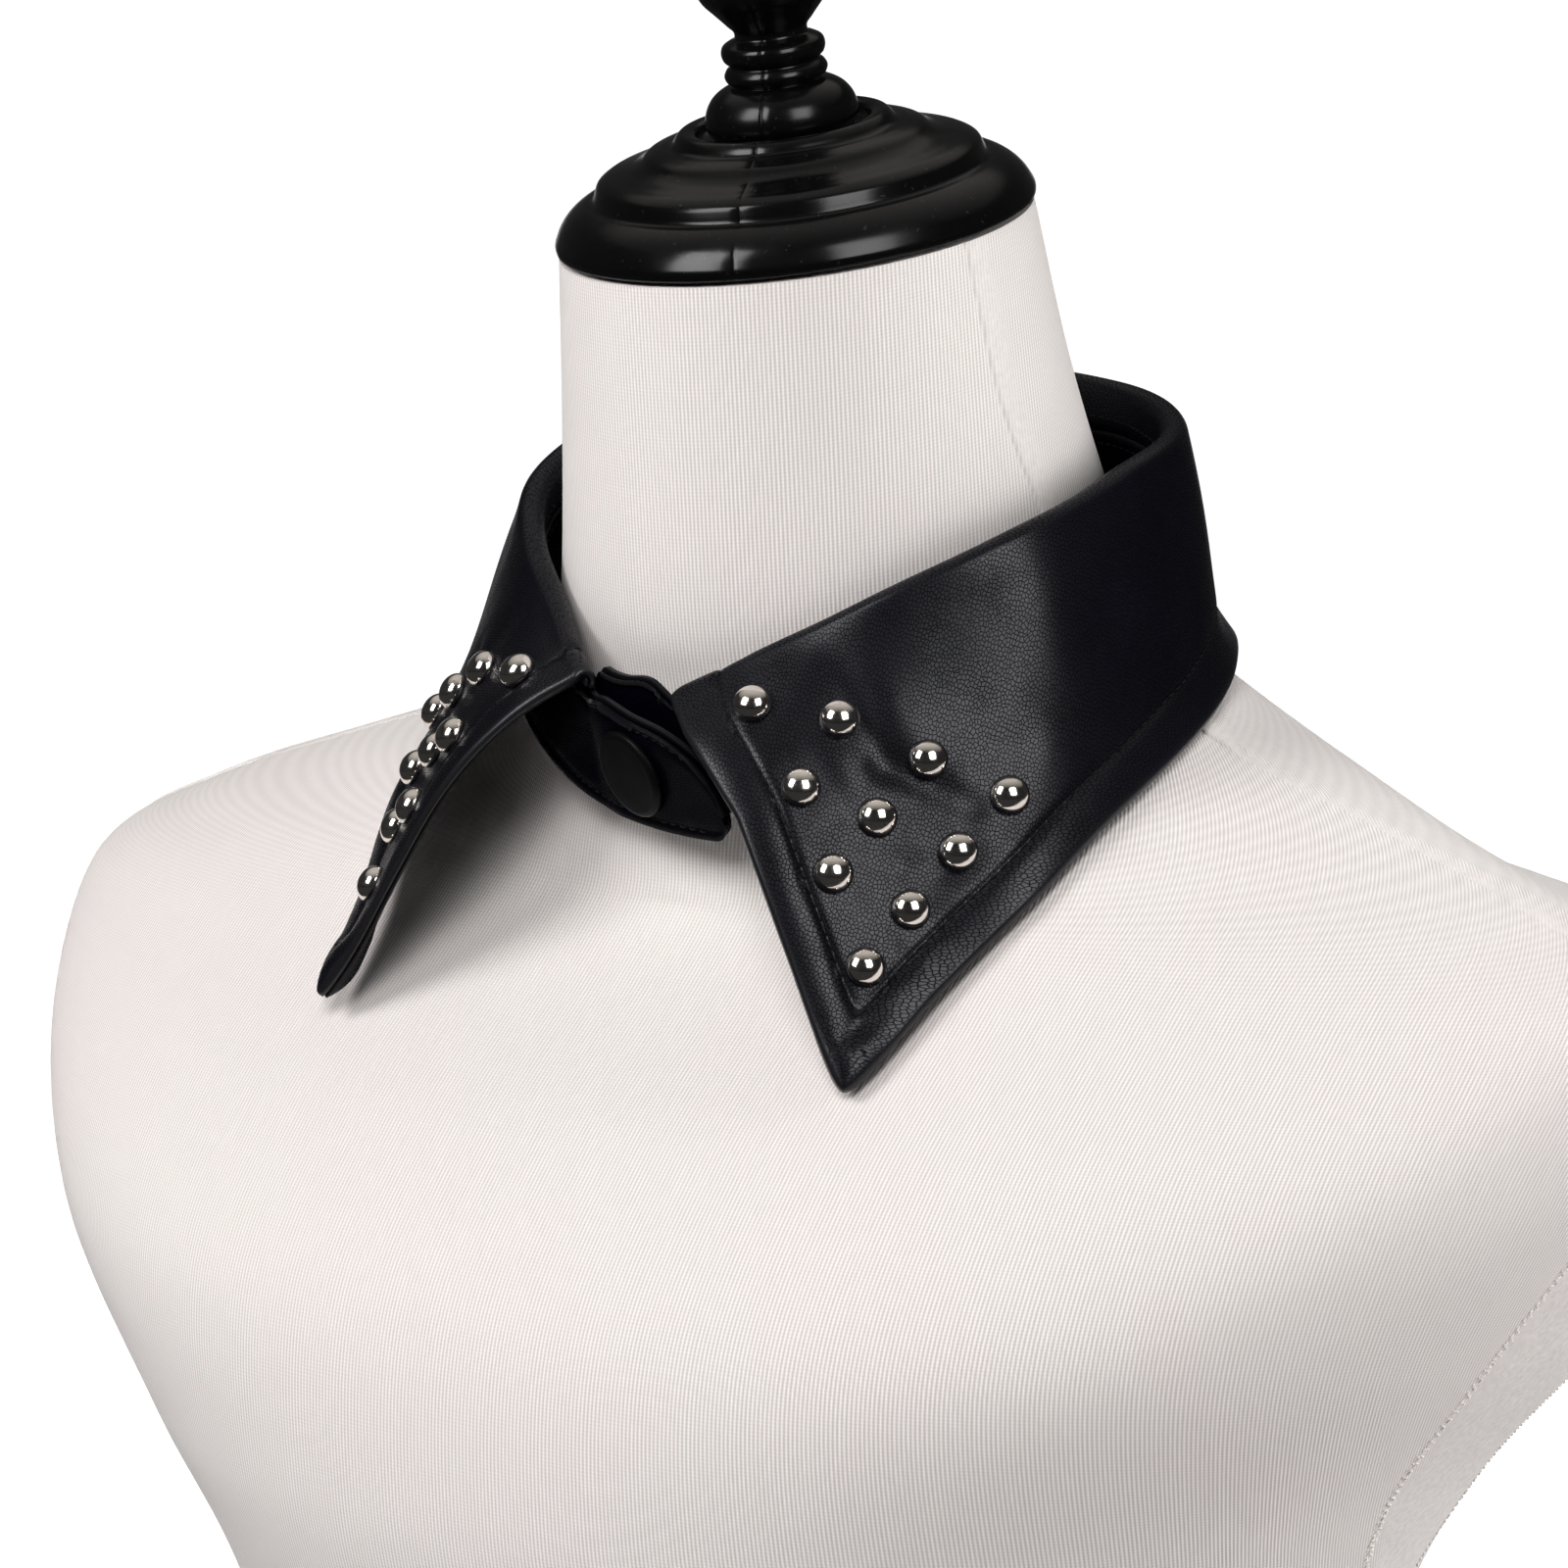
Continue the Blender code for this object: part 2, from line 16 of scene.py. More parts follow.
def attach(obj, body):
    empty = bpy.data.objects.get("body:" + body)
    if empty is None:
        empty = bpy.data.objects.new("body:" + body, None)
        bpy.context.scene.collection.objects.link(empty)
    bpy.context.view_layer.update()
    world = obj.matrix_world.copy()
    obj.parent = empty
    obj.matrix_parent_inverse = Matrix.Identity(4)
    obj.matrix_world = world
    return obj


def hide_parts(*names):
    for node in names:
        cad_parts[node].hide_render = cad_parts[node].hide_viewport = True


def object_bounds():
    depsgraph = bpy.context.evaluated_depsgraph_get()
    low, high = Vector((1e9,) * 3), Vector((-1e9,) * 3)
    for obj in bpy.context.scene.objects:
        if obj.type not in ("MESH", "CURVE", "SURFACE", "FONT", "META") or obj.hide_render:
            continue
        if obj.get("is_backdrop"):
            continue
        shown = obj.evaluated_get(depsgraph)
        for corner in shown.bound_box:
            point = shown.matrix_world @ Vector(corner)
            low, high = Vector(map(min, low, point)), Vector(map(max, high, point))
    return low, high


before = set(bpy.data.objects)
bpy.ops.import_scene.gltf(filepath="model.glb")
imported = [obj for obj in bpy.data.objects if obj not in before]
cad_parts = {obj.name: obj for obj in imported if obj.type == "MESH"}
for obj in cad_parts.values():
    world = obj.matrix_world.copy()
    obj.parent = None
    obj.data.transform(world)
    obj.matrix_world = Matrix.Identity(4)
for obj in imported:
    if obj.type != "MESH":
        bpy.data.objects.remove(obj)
cad_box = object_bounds()
MM = 0.001
UP = np.array([0, 0, 1.0])
DATUM = 330 * MM  # the form's base up to the level that the collar is measured from
print("nodes in the frame:", len(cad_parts))

# %% [markdown]
# ## Short tables in place of long point lists
#
# A pattern maker writes a garment down as a few measures at a few stations. A smooth curve through
# each column gives every station between. The collar and the form are both drawn that way, in
# millimetres and degrees, so a fine surface costs no more numbers than a coarse one.

# %% Curves through tables


def columns(names, rows):
    """The rows' numbers by column: turns and leans in radians, fullness plain, lengths in metres."""
    found = {}
    for place, name in enumerate(names.split()):
        values = np.array([row[place] for row in rows], float)
        if name.endswith(("turn", "lean")):
            values = np.radians(values)
        elif not name.endswith("fullness"):
            values = values * MM
        found[name] = values
    return found


def through(values, at, knots=None):
    """Cubic pieces through the values, each knot's slope being the mean of its neighbours' slopes."""
    at = np.asarray(at, float)
    knots = np.arange(len(values), dtype=float) if knots is None else knots
    slope = np.gradient(values, knots, axis=0)
    piece = np.clip(np.searchsorted(knots, at, side="right") - 1, 0, len(knots) - 2)
    width = knots[piece + 1] - knots[piece]
    t = (at - knots[piece]) / width
    if values.ndim == 2:
        t, width = t[..., None], width[..., None]
    start, end = values[piece], values[piece + 1]
    leave, arrive = slope[piece] * width, slope[piece + 1] * width
    rise = 3 * t**2 - 2 * t**3
    return start + (end - start) * rise + (t**3 - 2 * t**2 + t) * leave + (t**3 - t**2) * arrive


def unit(vectors):
    return vectors / np.linalg.norm(vectors, axis=-1, keepdims=True)


def bell(distance, width):
    """1 at no distance, falling as exp(-(distance / width)^2)."""
    return np.exp(-((distance / width) ** 2))


def all_round(count):
    """Even angles once round."""
    return np.linspace(0, 2 * math.pi, count, endpoint=False)


def swell(points, size, seed):
    """Soft rise and fall between about -1 and 1: the mean of six slanted waves of this length."""
    draw = np.random.default_rng(seed)
    ways = unit(draw.normal(size=(6, 3)))
    lengths = size * draw.uniform(0.7, 1.5, 6)
    phases = draw.uniform(0, 2 * math.pi, 6)
    return np.sin(points @ ways.T * (2 * math.pi / lengths) + phases).mean(-1) * 1.6


# %% [markdown]
# ## The fall, as a function of two numbers
#
# The fall is the part with the points. One number counts stations back from the front edge, and the
# other goes along a section: 0 to 1 up the neck side from the seam, 1 to 2 round the roll, and 2 to
# 3 down the leaf to the hem. Any stitch, stud or crease can then be placed on it by those two.

# %% The fall's table
COLLAR_AXIS_Y = 10 * MM
COLLAR_TILT = math.radians(1.8)
PLY = 1.0 * MM
SEAM_GAP = 0.3 * MM
HUMP_TO_ONE = 27 / 4  # t (1 - t)^2 is 4/27 at its highest
HEM_KICK_FROM = 0.84  # the share of the leaf where the hem starts to turn out
FALL_NAMES = "fold_turn fold_reach fold_height seam_drop roll hem_turn hem_reach hem_height bow kick"
FALL_ROWS = [
    (9.5, 81.5, -13.0, 4.0, 2.8, 36.0, 123.0, -90.0, 8.5, 0.0),
    (26.5, 74.0, -1.0, 6.5, 3.1, 46.0, 110.5, -70.0, 4.0, 0.0),
    (44.0, 74.0, 11.0, 9.0, 3.2, 58.0, 105.0, -51.0, -1.0, 1.0),
    (63.0, 74.0, 22.0, 10.0, 3.2, 71.0, 98.0, -35.6, 1.0, 2.0),
    (89.0, 69.5, 33.0, 10.5, 3.2, 90.5, 91.4, -20.9, 1.0, 3.0),
    (116.0, 67.5, 39.0, 10.5, 3.2, 114.5, 84.0, -11.6, 0.5, 3.5),
    (147.0, 60.5, 44.0, 11.0, 3.2, 146.5, 81.0, -9.0, 0.5, 4.0),
    (180.0, 52.5, 45.5, 12.5, 3.2, 180.0, 76.0, -11.0, 1.0, 4.0),
]
BACK = len(FALL_ROWS) - 1.0  # the station at the centre back


def half_round(names, rows):
    """The columns, with one more row past the centre back that mirrors the one before it."""
    found = columns(names, rows)
    for name, values in found.items():
        beyond = 2 * math.pi - values[-2] if name.endswith("turn") else values[-2]
        found[name] = np.append(values, beyond)
    return found


FALL = half_round(FALL_NAMES, FALL_ROWS)


def polar(turn, reach, height):
    """A point at this reach from the collar's axis, turned from the front to the wearer's left."""
    return np.stack([reach * np.sin(turn), COLLAR_AXIS_Y - reach * np.cos(turn), height], -1)


def fall(at, place):
    """The fall's outer face: a straight climb, an arc, then a leg whose bow is a cubic hump.

    The section stands in the upright plane square to the fold. The leg leaves the arc where it is
    tangent to the line to the hem. Its bow is 27/4 t (1 - t)^2 of the table's, less the kick, which
    pulls it in towards the hem until the hem's turned edge comes out again.
    """
    at, place = np.broadcast_arrays(np.asarray(at, float), np.asarray(place, float))
    row = {name: through(values, at)[..., None] for name, values in FALL.items()}
    fold = ("fold_turn", "fold_reach", "fold_height")
    crest, before, after = (
        polar(*(through(FALL[name], at + shift) for name in fold)) for shift in (0, -0.15, 0.15)
    )
    along = unit((after - before) * [1, 1, 0])
    outward = np.stack([along[..., 1], -along[..., 0], 0 * along[..., 0]], -1)
    roll = row["roll"]
    centre = crest - UP * roll
    hem = polar(*(row[name][..., 0] for name in ("hem_turn", "hem_reach", "hem_height"))) - centre
    hem_out, hem_up, hem_along = (
        (hem * way).sum(-1, keepdims=True) for way in (outward, UP, along)
    )
    leave = np.arctan2(hem_up, hem_out) + np.arccos(roll / np.hypot(hem_out, hem_up))
    place = place[..., None]
    angle = math.pi + (leave - math.pi) * np.clip(place - 1, 0, 1)
    ray = outward * np.cos(angle) + UP * np.sin(angle)
    low = (row["seam_drop"] - roll) * (1 - np.clip(place, 0, 1))
    t = np.clip(place - 2, 0, 1)
    turned = np.clip((t - HEM_KICK_FROM) / (1 - HEM_KICK_FROM), 0, 1) ** 1.5
    pulled = np.minimum(t, HEM_KICK_FROM) - HEM_KICK_FROM * turned
    bow = row["bow"] * HUMP_TO_ONE * t * (1 - t) ** 2 - row["kick"] * pulled
    leg = outward * hem_out + UP * hem_up + along * hem_along - ray * roll
    return centre + ray * roll - UP * low + (place > 2) * (leg * t + ray * bow)


def facing(at, place):
    """The face's outward normal, from the cross product of small steps both ways."""
    step = 0.01
    along = fall(at + step, place) - fall(at - step, place)
    down = fall(at, np.minimum(place + step, 3)) - fall(at, np.maximum(place - step, 0))
    return unit(np.cross(down, along))


def seated(points):
    """From the collar's own frame to the shared one: tilted about Y, then lifted to the datum."""
    x, y, z = np.moveaxis(points, -1, 0)
    c, s = math.cos(COLLAR_TILT), math.sin(COLLAR_TILT)
    return np.stack([x * c + z * s, y, z * c - x * s + DATUM], -1)


# %% [markdown]
# A stitch line keeps its distance from an edge, so that distance has to be known everywhere. It is
# measured square to the edge: the hem's from the section's length, the front's from how fast one
# leaves the front edge at each place.

# %% Distances from the edges


def section_length(at):
    """The leg's length, less what its slant to the hem takes off a distance square to the hem."""
    top, low = fall(at, 2.0 + 0 * at), fall(at, 3.0 + 0 * at)
    hem_way = unit(fall(at + 0.05, 3.0 + 0 * at) - fall(at - 0.05, 3.0 + 0 * at))
    leg = low - top
    return np.linalg.norm(np.cross(leg, hem_way), axis=-1)


LENGTHS_A_STATION = 4
LENGTHS = section_length(np.arange(0, BACK + 0.01, 1 / LENGTHS_A_STATION))
FRONT_STEP = 0.3  # stations back from the front edge, to measure how fast one leaves it
PLACES = np.linspace(0, 3, 61)
near, far = fall(0 * PLACES, PLACES), fall(0 * PLACES + FRONT_STEP, PLACES)
near_down = unit(np.gradient(near, axis=0))
SPEEDS = np.linalg.norm(np.cross(far - near, near_down), axis=-1) / FRONT_STEP


def leg_length(at):
    """The section's length at these stations, from the fold to the hem."""
    return through(LENGTHS, np.clip(at, 0, BACK) * LENGTHS_A_STATION)


def front_speed(place):
    """Metres from the front edge for each station back from it, at this place in the section."""
    return np.interp(place, PLACES, SPEEDS)


def from_hem(at, place):
    """The distance up from the hem, and a long way on the roll and the neck side."""
    return np.where(place > 2, (3 - place) * leg_length(at), 1.0)


def from_front(at, place):
    """The distance back from the front edge."""
    return at * front_speed(place)


def from_edge(at, place):
    """The nearer of the two, blended over the point's mitre: (a^-6 + b^-6)^(-1/6)."""
    a = np.maximum(from_front(at, place), 1e-6) / MM
    b = np.maximum(from_hem(at, place), 1e-6) / MM
    return (a**-6.0 + b**-6.0) ** (-1 / 6) * MM


print("section lengths, mm:", (LENGTHS[::LENGTHS_A_STATION] / MM).round(1))

# %% [markdown]
# ## Turned edges, stitch line and creases
#
# Leather that is turned under, pressed and topstitched is thick at the edge, dips at the thread and
# lies flat beyond. Real leather also keeps soft troughs where it was bent, and is drawn in a little
# at each stud. All of it is one height over the face, in the collar's own sizes.

# %% The height over the fall
STITCH_IN = 9.6 * MM  # the thread's distance from the edge
EDGE_ROUND, EDGE_PUFF = 1.25 * MM, 0.58 * MM
UNDER_PUFF = 0.9 * MM
UNEVEN_HEIGHT, UNEVEN_LENGTH = 0.22 * MM, 34 * MM
DIMPLE_DEPTH, DIMPLE_WIDTH = 0.3 * MM, 6 * MM  # the leather round a stud
DIMPLE_RIM_HEIGHT, DIMPLE_RIM_REACH, DIMPLE_RIM_WIDTH = 0.05 * MM, 9 * MM, 3 * MM
GROOVE_DEPTH, GROOVE_WIDTH = 0.42 * MM, 0.85 * MM  # where the thread pulls the plies together
GATHER_HEIGHT, GATHER_LENGTH, GATHER_WIDTH = 0.16 * MM, 9 * MM, 5 * MM
SEAM_SINK, SEAM_SHARE = 0.6 * MM, 0.16
TIP_REACH = 7 * MM  # how far the turned layers of a point stack up
# side (1 the wearer's left), station and share of the leaf at both ends, width and height in mm
CREASES = [
    (1, 1.20, 0.05, 1.27, 0.42, 4.5, -0.9), (1, 1.28, 0.42, 1.78, 0.65, 3.6, -1.0),
    (1, 0.84, 0.60, 1.34, 0.75, 3.2, -0.7), (1, 1.72, 0.50, 2.35, 0.60, 4.2, -0.5),
    (1, 0.74, 0.22, 0.80, 0.48, 3.4, -0.4), (1, 1.50, 0.30, 1.72, 0.52, 5.0, 0.5),
    (1, 0.62, 0.68, 0.80, 0.86, 3.4, -0.4), (1, 0.20, 0.90, 0.44, 0.92, 2.6, -0.6),
    (1, 2.60, 0.15, 2.95, 0.70, 9.0, -0.5), (1, 3.30, 0.45, 3.75, 0.85, 8.0, -0.6),
    (1, 4.40, 0.15, 4.20, 0.75, 8.0, -0.5), (1, 5.60, 0.30, 5.90, 0.85, 9.0, -0.6),
    (-1, 1.30, 0.10, 1.42, 0.50, 4.2, -0.8), (-1, 0.80, 0.50, 1.30, 0.70, 3.6, -0.8),
    (-1, 1.70, 0.35, 2.20, 0.70, 4.6, -0.7), (-1, 0.24, 0.86, 0.50, 0.93, 2.8, -0.6),
    (-1, 2.70, 0.05, 2.50, 0.60, 8.0, -0.8), (-1, 3.60, 0.30, 3.95, 0.80, 8.5, -0.6),
    (-1, 4.90, 0.20, 5.10, 0.80, 8.0, -0.5), (-1, 6.10, 0.25, 6.30, 0.80, 9.0, -0.5),
]


def node_seat(name):
    """A low round node's base centre and axis: its flattest way, pointing off the neck."""
    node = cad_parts[name]
    points = np.empty(len(node.data.vertices) * 3)
    node.data.vertices.foreach_get("co", points)
    points = np.unique(points.reshape(-1, 3).round(7), axis=0)
    middle = points.mean(0)
    axis = np.linalg.svd(points - middle)[2][2]
    axis = axis * np.sign(axis @ ((middle - [0, COLLAR_AXIS_Y, 0]) * [1, 1, 0]))
    return middle + axis * ((points - middle) @ axis).min(), axis


STUD_NODES = [f"stud_{side}_{number:02d}" for side in ("left", "right") for number in range(1, 11)]
STUD_SEATS = [node_seat(name) for name in STUD_NODES]


def near_segment(points, start, end):
    """The distance to the straight line between two points, ends included."""
    way = end - start
    share = np.clip((points - start) @ way / (way @ way), 0, 1)[..., None]
    return np.linalg.norm(points - start - way * share, axis=-1)


def tip_swell(at, place, side):
    """How much more the point's turned layers stand up there, most at the wearer's right."""
    from_tip = np.hypot(from_front(at, place), from_hem(at, place)) - TIP_REACH
    return (1.2 if side > 0 else 2.4) * bell(from_tip, TIP_REACH)


def hollows(place, side, points):
    """The height that both plies share: a soft unevenness, a bell over each crease, and a bell
    below each stud with a low ring round it."""
    height = UNEVEN_HEIGHT * swell(points, UNEVEN_LENGTH, 5)
    leaf = np.clip((place - 2) * 8, 0, 1)
    for way, at_from, down_from, at_to, down_to, width, depth in CREASES:
        if way != side:
            continue
        stations, shares = np.array([at_from, at_to]), np.array([down_from, down_to])
        ends = seated(fall(stations, 2 + shares) * [side, 1, 1])
        height = height + leaf * 0.85 * depth * MM * bell(near_segment(points, *ends), width * MM)
    for seat, _ in STUD_SEATS:
        apart = np.linalg.norm(points - seat, axis=-1)
        height = height - DIMPLE_DEPTH * bell(apart, DIMPLE_WIDTH)
        height = height + DIMPLE_RIM_HEIGHT * bell(apart - DIMPLE_RIM_REACH, DIMPLE_RIM_WIDTH)
    return height


def relief(at, place, side, points):
    """The upper ply's own height: a puff of sin(pi s)^0.75 between edge and thread, a quarter
    circle off the edge, a groove at the thread, small gathers inside it and a sunk seam."""
    edge = from_edge(at, place)
    inside = np.clip(edge / STITCH_IN, 0, 1)
    height = EDGE_PUFF * (1 + tip_swell(at, place, side)) * np.sin(math.pi * inside) ** 0.75
    uneven = 1 + 0.22 * swell(points, 21 * MM, 3)
    height = height * uneven * np.interp(place, [1.7, 2.15], [0.3, 1])
    height = height - EDGE_ROUND * (1 - np.sqrt(1 - np.clip(1 - edge / EDGE_ROUND, 0, 1) ** 2))
    height = height - GROOVE_DEPTH * bell(edge - STITCH_IN, GROOVE_WIDTH)
    gathers = swell(points, GATHER_LENGTH, 11) * bell(edge - STITCH_IN - 3 * MM, GATHER_WIDTH)
    seam = np.clip(1 - place / SEAM_SHARE, 0, 1)
    return height + GATHER_HEIGHT * gathers - SEAM_SINK * seam**2


# %% The rounded points and the left front edge
UNDER_INSET = 1.2 * MM  # the under ply stops short of the upper one by this much
TIP_LENGTH = 4.6 * MM
TIP_PULL, TIP_PULL_RUN = 2.2 * MM, 45 * MM


def tip_shift(at, place, side):
    """Rounds the point: a push along the mitre of L cos(half angle) exp(-(a + b) / L), and a wide
    pull back."""
    tip, up, back = seated(fall(np.array([0, 0, 0.1]), np.array([3, 2.9, 3])) * [side, 1, 1])
    front_way, hem_way = unit(up - tip), unit(back - tip)
    mitre = unit(front_way + hem_way)
    half = math.acos(mitre @ front_way)
    run = (from_front(at, place) + from_hem(at, place)) / math.sin(2 * half)
    push = TIP_LENGTH * math.cos(half) * np.exp(-run / TIP_LENGTH)
    push = push - TIP_PULL * np.exp(-run / TIP_PULL_RUN)
    return mitre * push[..., None]


FRONT_PLACES = np.array([1.0, 1.6, 1.9, 2.1, 2.35, 2.7, 3.0])
FRONT_PUSH = np.array([0, 1.5, 3.2, 2.6, -1.6, -1.0, 0]) * MM


def front_shift(at, place):
    """The wearer's left front edge runs straighter: pushed forward at the fold, back below it."""
    way = unit(fall(0 * at, place) - fall(0 * at + 0.2, place))
    push = np.interp(place, FRONT_PLACES, FRONT_PUSH) * bell(from_front(at, place), 16 * MM)
    return way * push[..., None]


def leather_face(at, place, side, depth=0.0):
    """Points and normals of the fall at this depth under its face, on one side of the collar."""
    at, place = np.broadcast_arrays(np.asarray(at, float), np.asarray(place, float))
    mirror = np.array([side, 1, 1])
    normal = facing(at, place)
    flat = seated(fall(at, place) * mirror)
    normal = seated(normal * mirror) - seated(np.zeros(3))
    flat = flat + tip_shift(at, place, side)
    if side > 0:
        flat = flat + front_shift(at, place)
    height = hollows(place, side, flat)
    if depth:
        edge = np.clip((from_edge(at, place) - UNDER_INSET) / STITCH_IN, 0, 1)
        puff = UNDER_PUFF * (1 + tip_swell(at, place, side)) * np.sin(math.pi * edge) ** 0.8
        height = height - depth - puff
    else:
        height = height + relief(at, place, side, flat)
    return flat + normal * height[..., None], normal


# %% [markdown]
# ## A grid that follows the edges
#
# A fine groove needs fine faces, but only where it is. The grid's lines are therefore set at chosen
# distances from the hem and the front edge, close at the turn and at the thread, and spread out over
# the rest. Each side is worked out once and the two are joined at the centre back.

# %% The fall's grid
EDGE_LINES = MM * np.array([
    0, 0.2, 0.45, 0.8, 1.25, 1.9, 2.9, 4.2, 5.6, 7.0, 8.1, 8.8, 9.2, 9.6, 10, 10.4, 11.1, 12.4, 14.5,
])
STATIONS = 118  # from the edge lines at the front to the centre back
UPPER_LINES = np.concatenate([np.linspace(0, 0.9, 6), np.linspace(1, 1.93, 12)])
LEAF_LINES = np.linspace(0, 1, 34)[:-1]
# The rim along a turned edge: smoothed by wear, and painted a paler black there as a highlight.
WORN_AND_HIGHLIT_WIDTH = 1.1 * MM  # the shiny rim along a turned edge


def fall_grid(side, depth, inset=0.0):
    """One side's points as [station, line] from the front edge, and their edge wear and painted highlight.
    """
    above_leaf = len(UPPER_LINES)
    above_hem = above_leaf + len(LEAF_LINES)

    def places(at):
        """The lines' places at these stations: fixed on the roll, spread, then set off the hem."""
        length = leg_length(at)
        upper = np.broadcast_to(UPPER_LINES, (len(at), above_leaf))
        leaf = 2 + LEAF_LINES * (1 - (EDGE_LINES[-1] + inset) / length[:, above_leaf:above_hem])
        hem = 3 - (EDGE_LINES[::-1] + inset) / length[:, above_hem:]
        return np.hstack([upper, leaf, hem])

    first = places(np.zeros((1, above_hem + len(EDGE_LINES))))[0]
    front = (EDGE_LINES[:, None] + inset) / front_speed(first)
    rest = front[-1] + (BACK - front[-1]) * (np.arange(1, STATIONS + 1) / STATIONS)[:, None]
    at = np.vstack([front, rest])
    down = places(at)
    return leather_face(at, down, side, depth)[0], bell(from_edge(at, down) - inset, WORN_AND_HIGHLIT_WIDTH)


def whole_fall(depth, inset=0.0):
    """Both sides as one grid, from the wearer's left front edge round to the right one."""
    (left, left_edge), (right, right_edge) = (fall_grid(side, depth, inset) for side in (1, -1))
    middle = (left[-1] + right[-1]) / 2
    points = np.concatenate([left[:-1], middle[None], right[-2::-1]])
    return points, np.concatenate([left_edge, right_edge[-2::-1]])


# %% Putting surfaces into meshes


def grid_normals(points):
    """Unit normals of a grid: the cross product of the steps across and along it."""
    return unit(np.cross(np.gradient(points, axis=1), np.gradient(points, axis=0)))


def facing_off(normals, points, middle):
    """The normals, each turned round where it points towards the middle."""
    return normals * np.sign((normals * (points - middle)).sum(-1, keepdims=True))


def grid_faces(rows, lines, closed=False):
    """Four-sided faces on a grid of points, joined round its second way if closed."""
    index = np.arange(rows * lines).reshape(rows, lines)
    if closed:
        index = np.hstack([index, index[:, :1]])
    corners = [index[:-1, :-1], index[:-1, 1:], index[1:, 1:], index[1:, :-1]]
    return np.stack(corners, -1).reshape(-1, 4)


def surface_map(points, faces):
    """A map in metres for each face corner: u along the grid from its middle, v down its lines."""
    along = np.linalg.norm(np.diff(points, axis=0), axis=-1)
    across = np.linalg.norm(np.diff(points, axis=1), axis=-1)
    u = np.vstack([np.zeros((1, points.shape[1])), np.cumsum(along, 0)])
    v = np.hstack([np.zeros((len(points), 1)), np.cumsum(across, 1)])
    u = u - u[len(u) // 2]
    return np.stack([u, -v], -1).reshape(-1, 2)[faces].reshape(-1, 2)


def add_mask(piece, name, values):
    """A number for each point, for a finish to read as an attribute."""
    layer = piece.data.attributes.new(name, "FLOAT", "POINT")
    layer.data.foreach_set("value", np.asarray(values, np.float32).ravel())


def make_piece(name, points, faces, finish, slot, stands_for=(), uv=None, sharp=None):
    """A mesh piece that rides on the root body, takes the finish and stands for CAD nodes; slot is unused.
    """
    mesh = bpy.data.meshes.new(name)
    mesh.from_pydata(points.reshape(-1, 3).tolist(), [], [list(face) for face in faces])
    mesh.materials.append(finish)
    mesh.shade_smooth()
    if uv is not None:
        layer = mesh.uv_layers.new(name="surface")
        layer.data.foreach_set("uv", np.asarray(uv, np.float32).ravel())
    if sharp:
        mesh.set_sharp_from_angle(angle=math.radians(sharp))
    piece = bpy.data.objects.new(name, mesh)
    bpy.context.scene.collection.objects.link(piece)
    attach(piece, "root")
    if stands_for:
        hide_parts(*stands_for)
    return piece


def wall(piece, thickness, bevel=0.0):
    """Gives a surface its thickness behind its face, and rounds the cut edges if asked to."""
    solid = piece.modifiers.new("ply", "SOLIDIFY")
    solid.thickness = thickness
    solid.offset = -1
    if bevel:
        edge = piece.modifiers.new("cut edge", "BEVEL")
        edge.width = bevel
        edge.segments = 2
        edge.limit_method = "ANGLE"
        edge.angle_limit = math.radians(50)
    return piece


def grid_area(points):
    """The area of a grid's faces, from the cross products of their diagonals."""
    one = points[1:, 1:] - points[:-1, :-1]
    other = points[:-1, 1:] - points[1:, :-1]
    return np.linalg.norm(np.cross(one, other), axis=-1).sum() / 2


# %% [markdown]
# ## Finishes
#
# Each finish is a Principled shader with a few procedural masks. Effects that several finishes share
# are node groups: `pebble` makes leather grain or orange peel from cells, and `smudge` makes the
# uneven dullness that any handled surface has.

# %% Node helpers


def set_inputs(tree, node, **sockets):
    """Links each named socket to an output, or sets it to a number. i2 is the socket of index 2."""
    for key, value in sockets.items():
        key = int(key[1:]) if key[0] == "i" and key[1:].isdigit() else key.replace("_", " ")
        if isinstance(value, bpy.types.NodeSocket):
            tree.links.new(value, node.inputs[key])
        else:
            node.inputs[key].default_value = value


def add_node(tree, kind, settings=(), **sockets):
    """A node with its settings and its sockets."""
    node = tree.nodes.new("ShaderNode" + kind)
    for key, value in dict(settings).items():
        setattr(node, key, value)
    set_inputs(tree, node, **sockets)
    return node


def group_node(tree, group, **sockets):
    """A node that places a shader group in a finish."""
    return add_node(tree, "Group", {"node_tree": group}, **sockets)


def new_group(name, inputs, outputs):
    """An empty shader group with these sockets, and its input and output nodes."""
    tree = bpy.data.node_groups.new(name, "ShaderNodeTree")
    for label, kind, value in inputs:
        socket = tree.interface.new_socket(name=label, in_out="INPUT", socket_type="NodeSocket" + kind)
        if value is not None:
            socket.default_value = value
    for label in outputs:
        tree.interface.new_socket(name=label, in_out="OUTPUT", socket_type="NodeSocketFloat")
    return tree, tree.nodes.new("NodeGroupInput"), tree.nodes.new("NodeGroupOutput")


def math_node(tree, operation, first, second=0.0, third=0.0):
    """One step of arithmetic on up to three numbers."""
    node = add_node(tree, "Math", {"operation": operation}, i0=first, i1=second, i2=third)
    return node.outputs[0]


def ramp(tree, value, low, high, to_low=0.0, to_high=1.0):
    """A straight change from to_low to to_high while the value goes from low to high."""
    span = {"From_Min": low, "From_Max": high, "To_Min": to_low, "To_Max": to_high}
    return add_node(tree, "MapRange", Value=value, **span).outputs["Result"]


def mix_value(tree, share, first, second):
    """The first number where the share is 0, and the second where it is 1."""
    return add_node(tree, "Mix", i0=share, i2=first, i3=second).outputs[0]


def mix_colour(tree, share, first, second):
    """The first colour where the share is 0, and the second where it is 1."""
    first, second = (c if isinstance(c, bpy.types.NodeSocket) else (*c, 1) for c in (first, second))
    return add_node(tree, "Mix", {"data_type": "RGBA"}, i0=share, i6=first, i7=second).outputs[2]


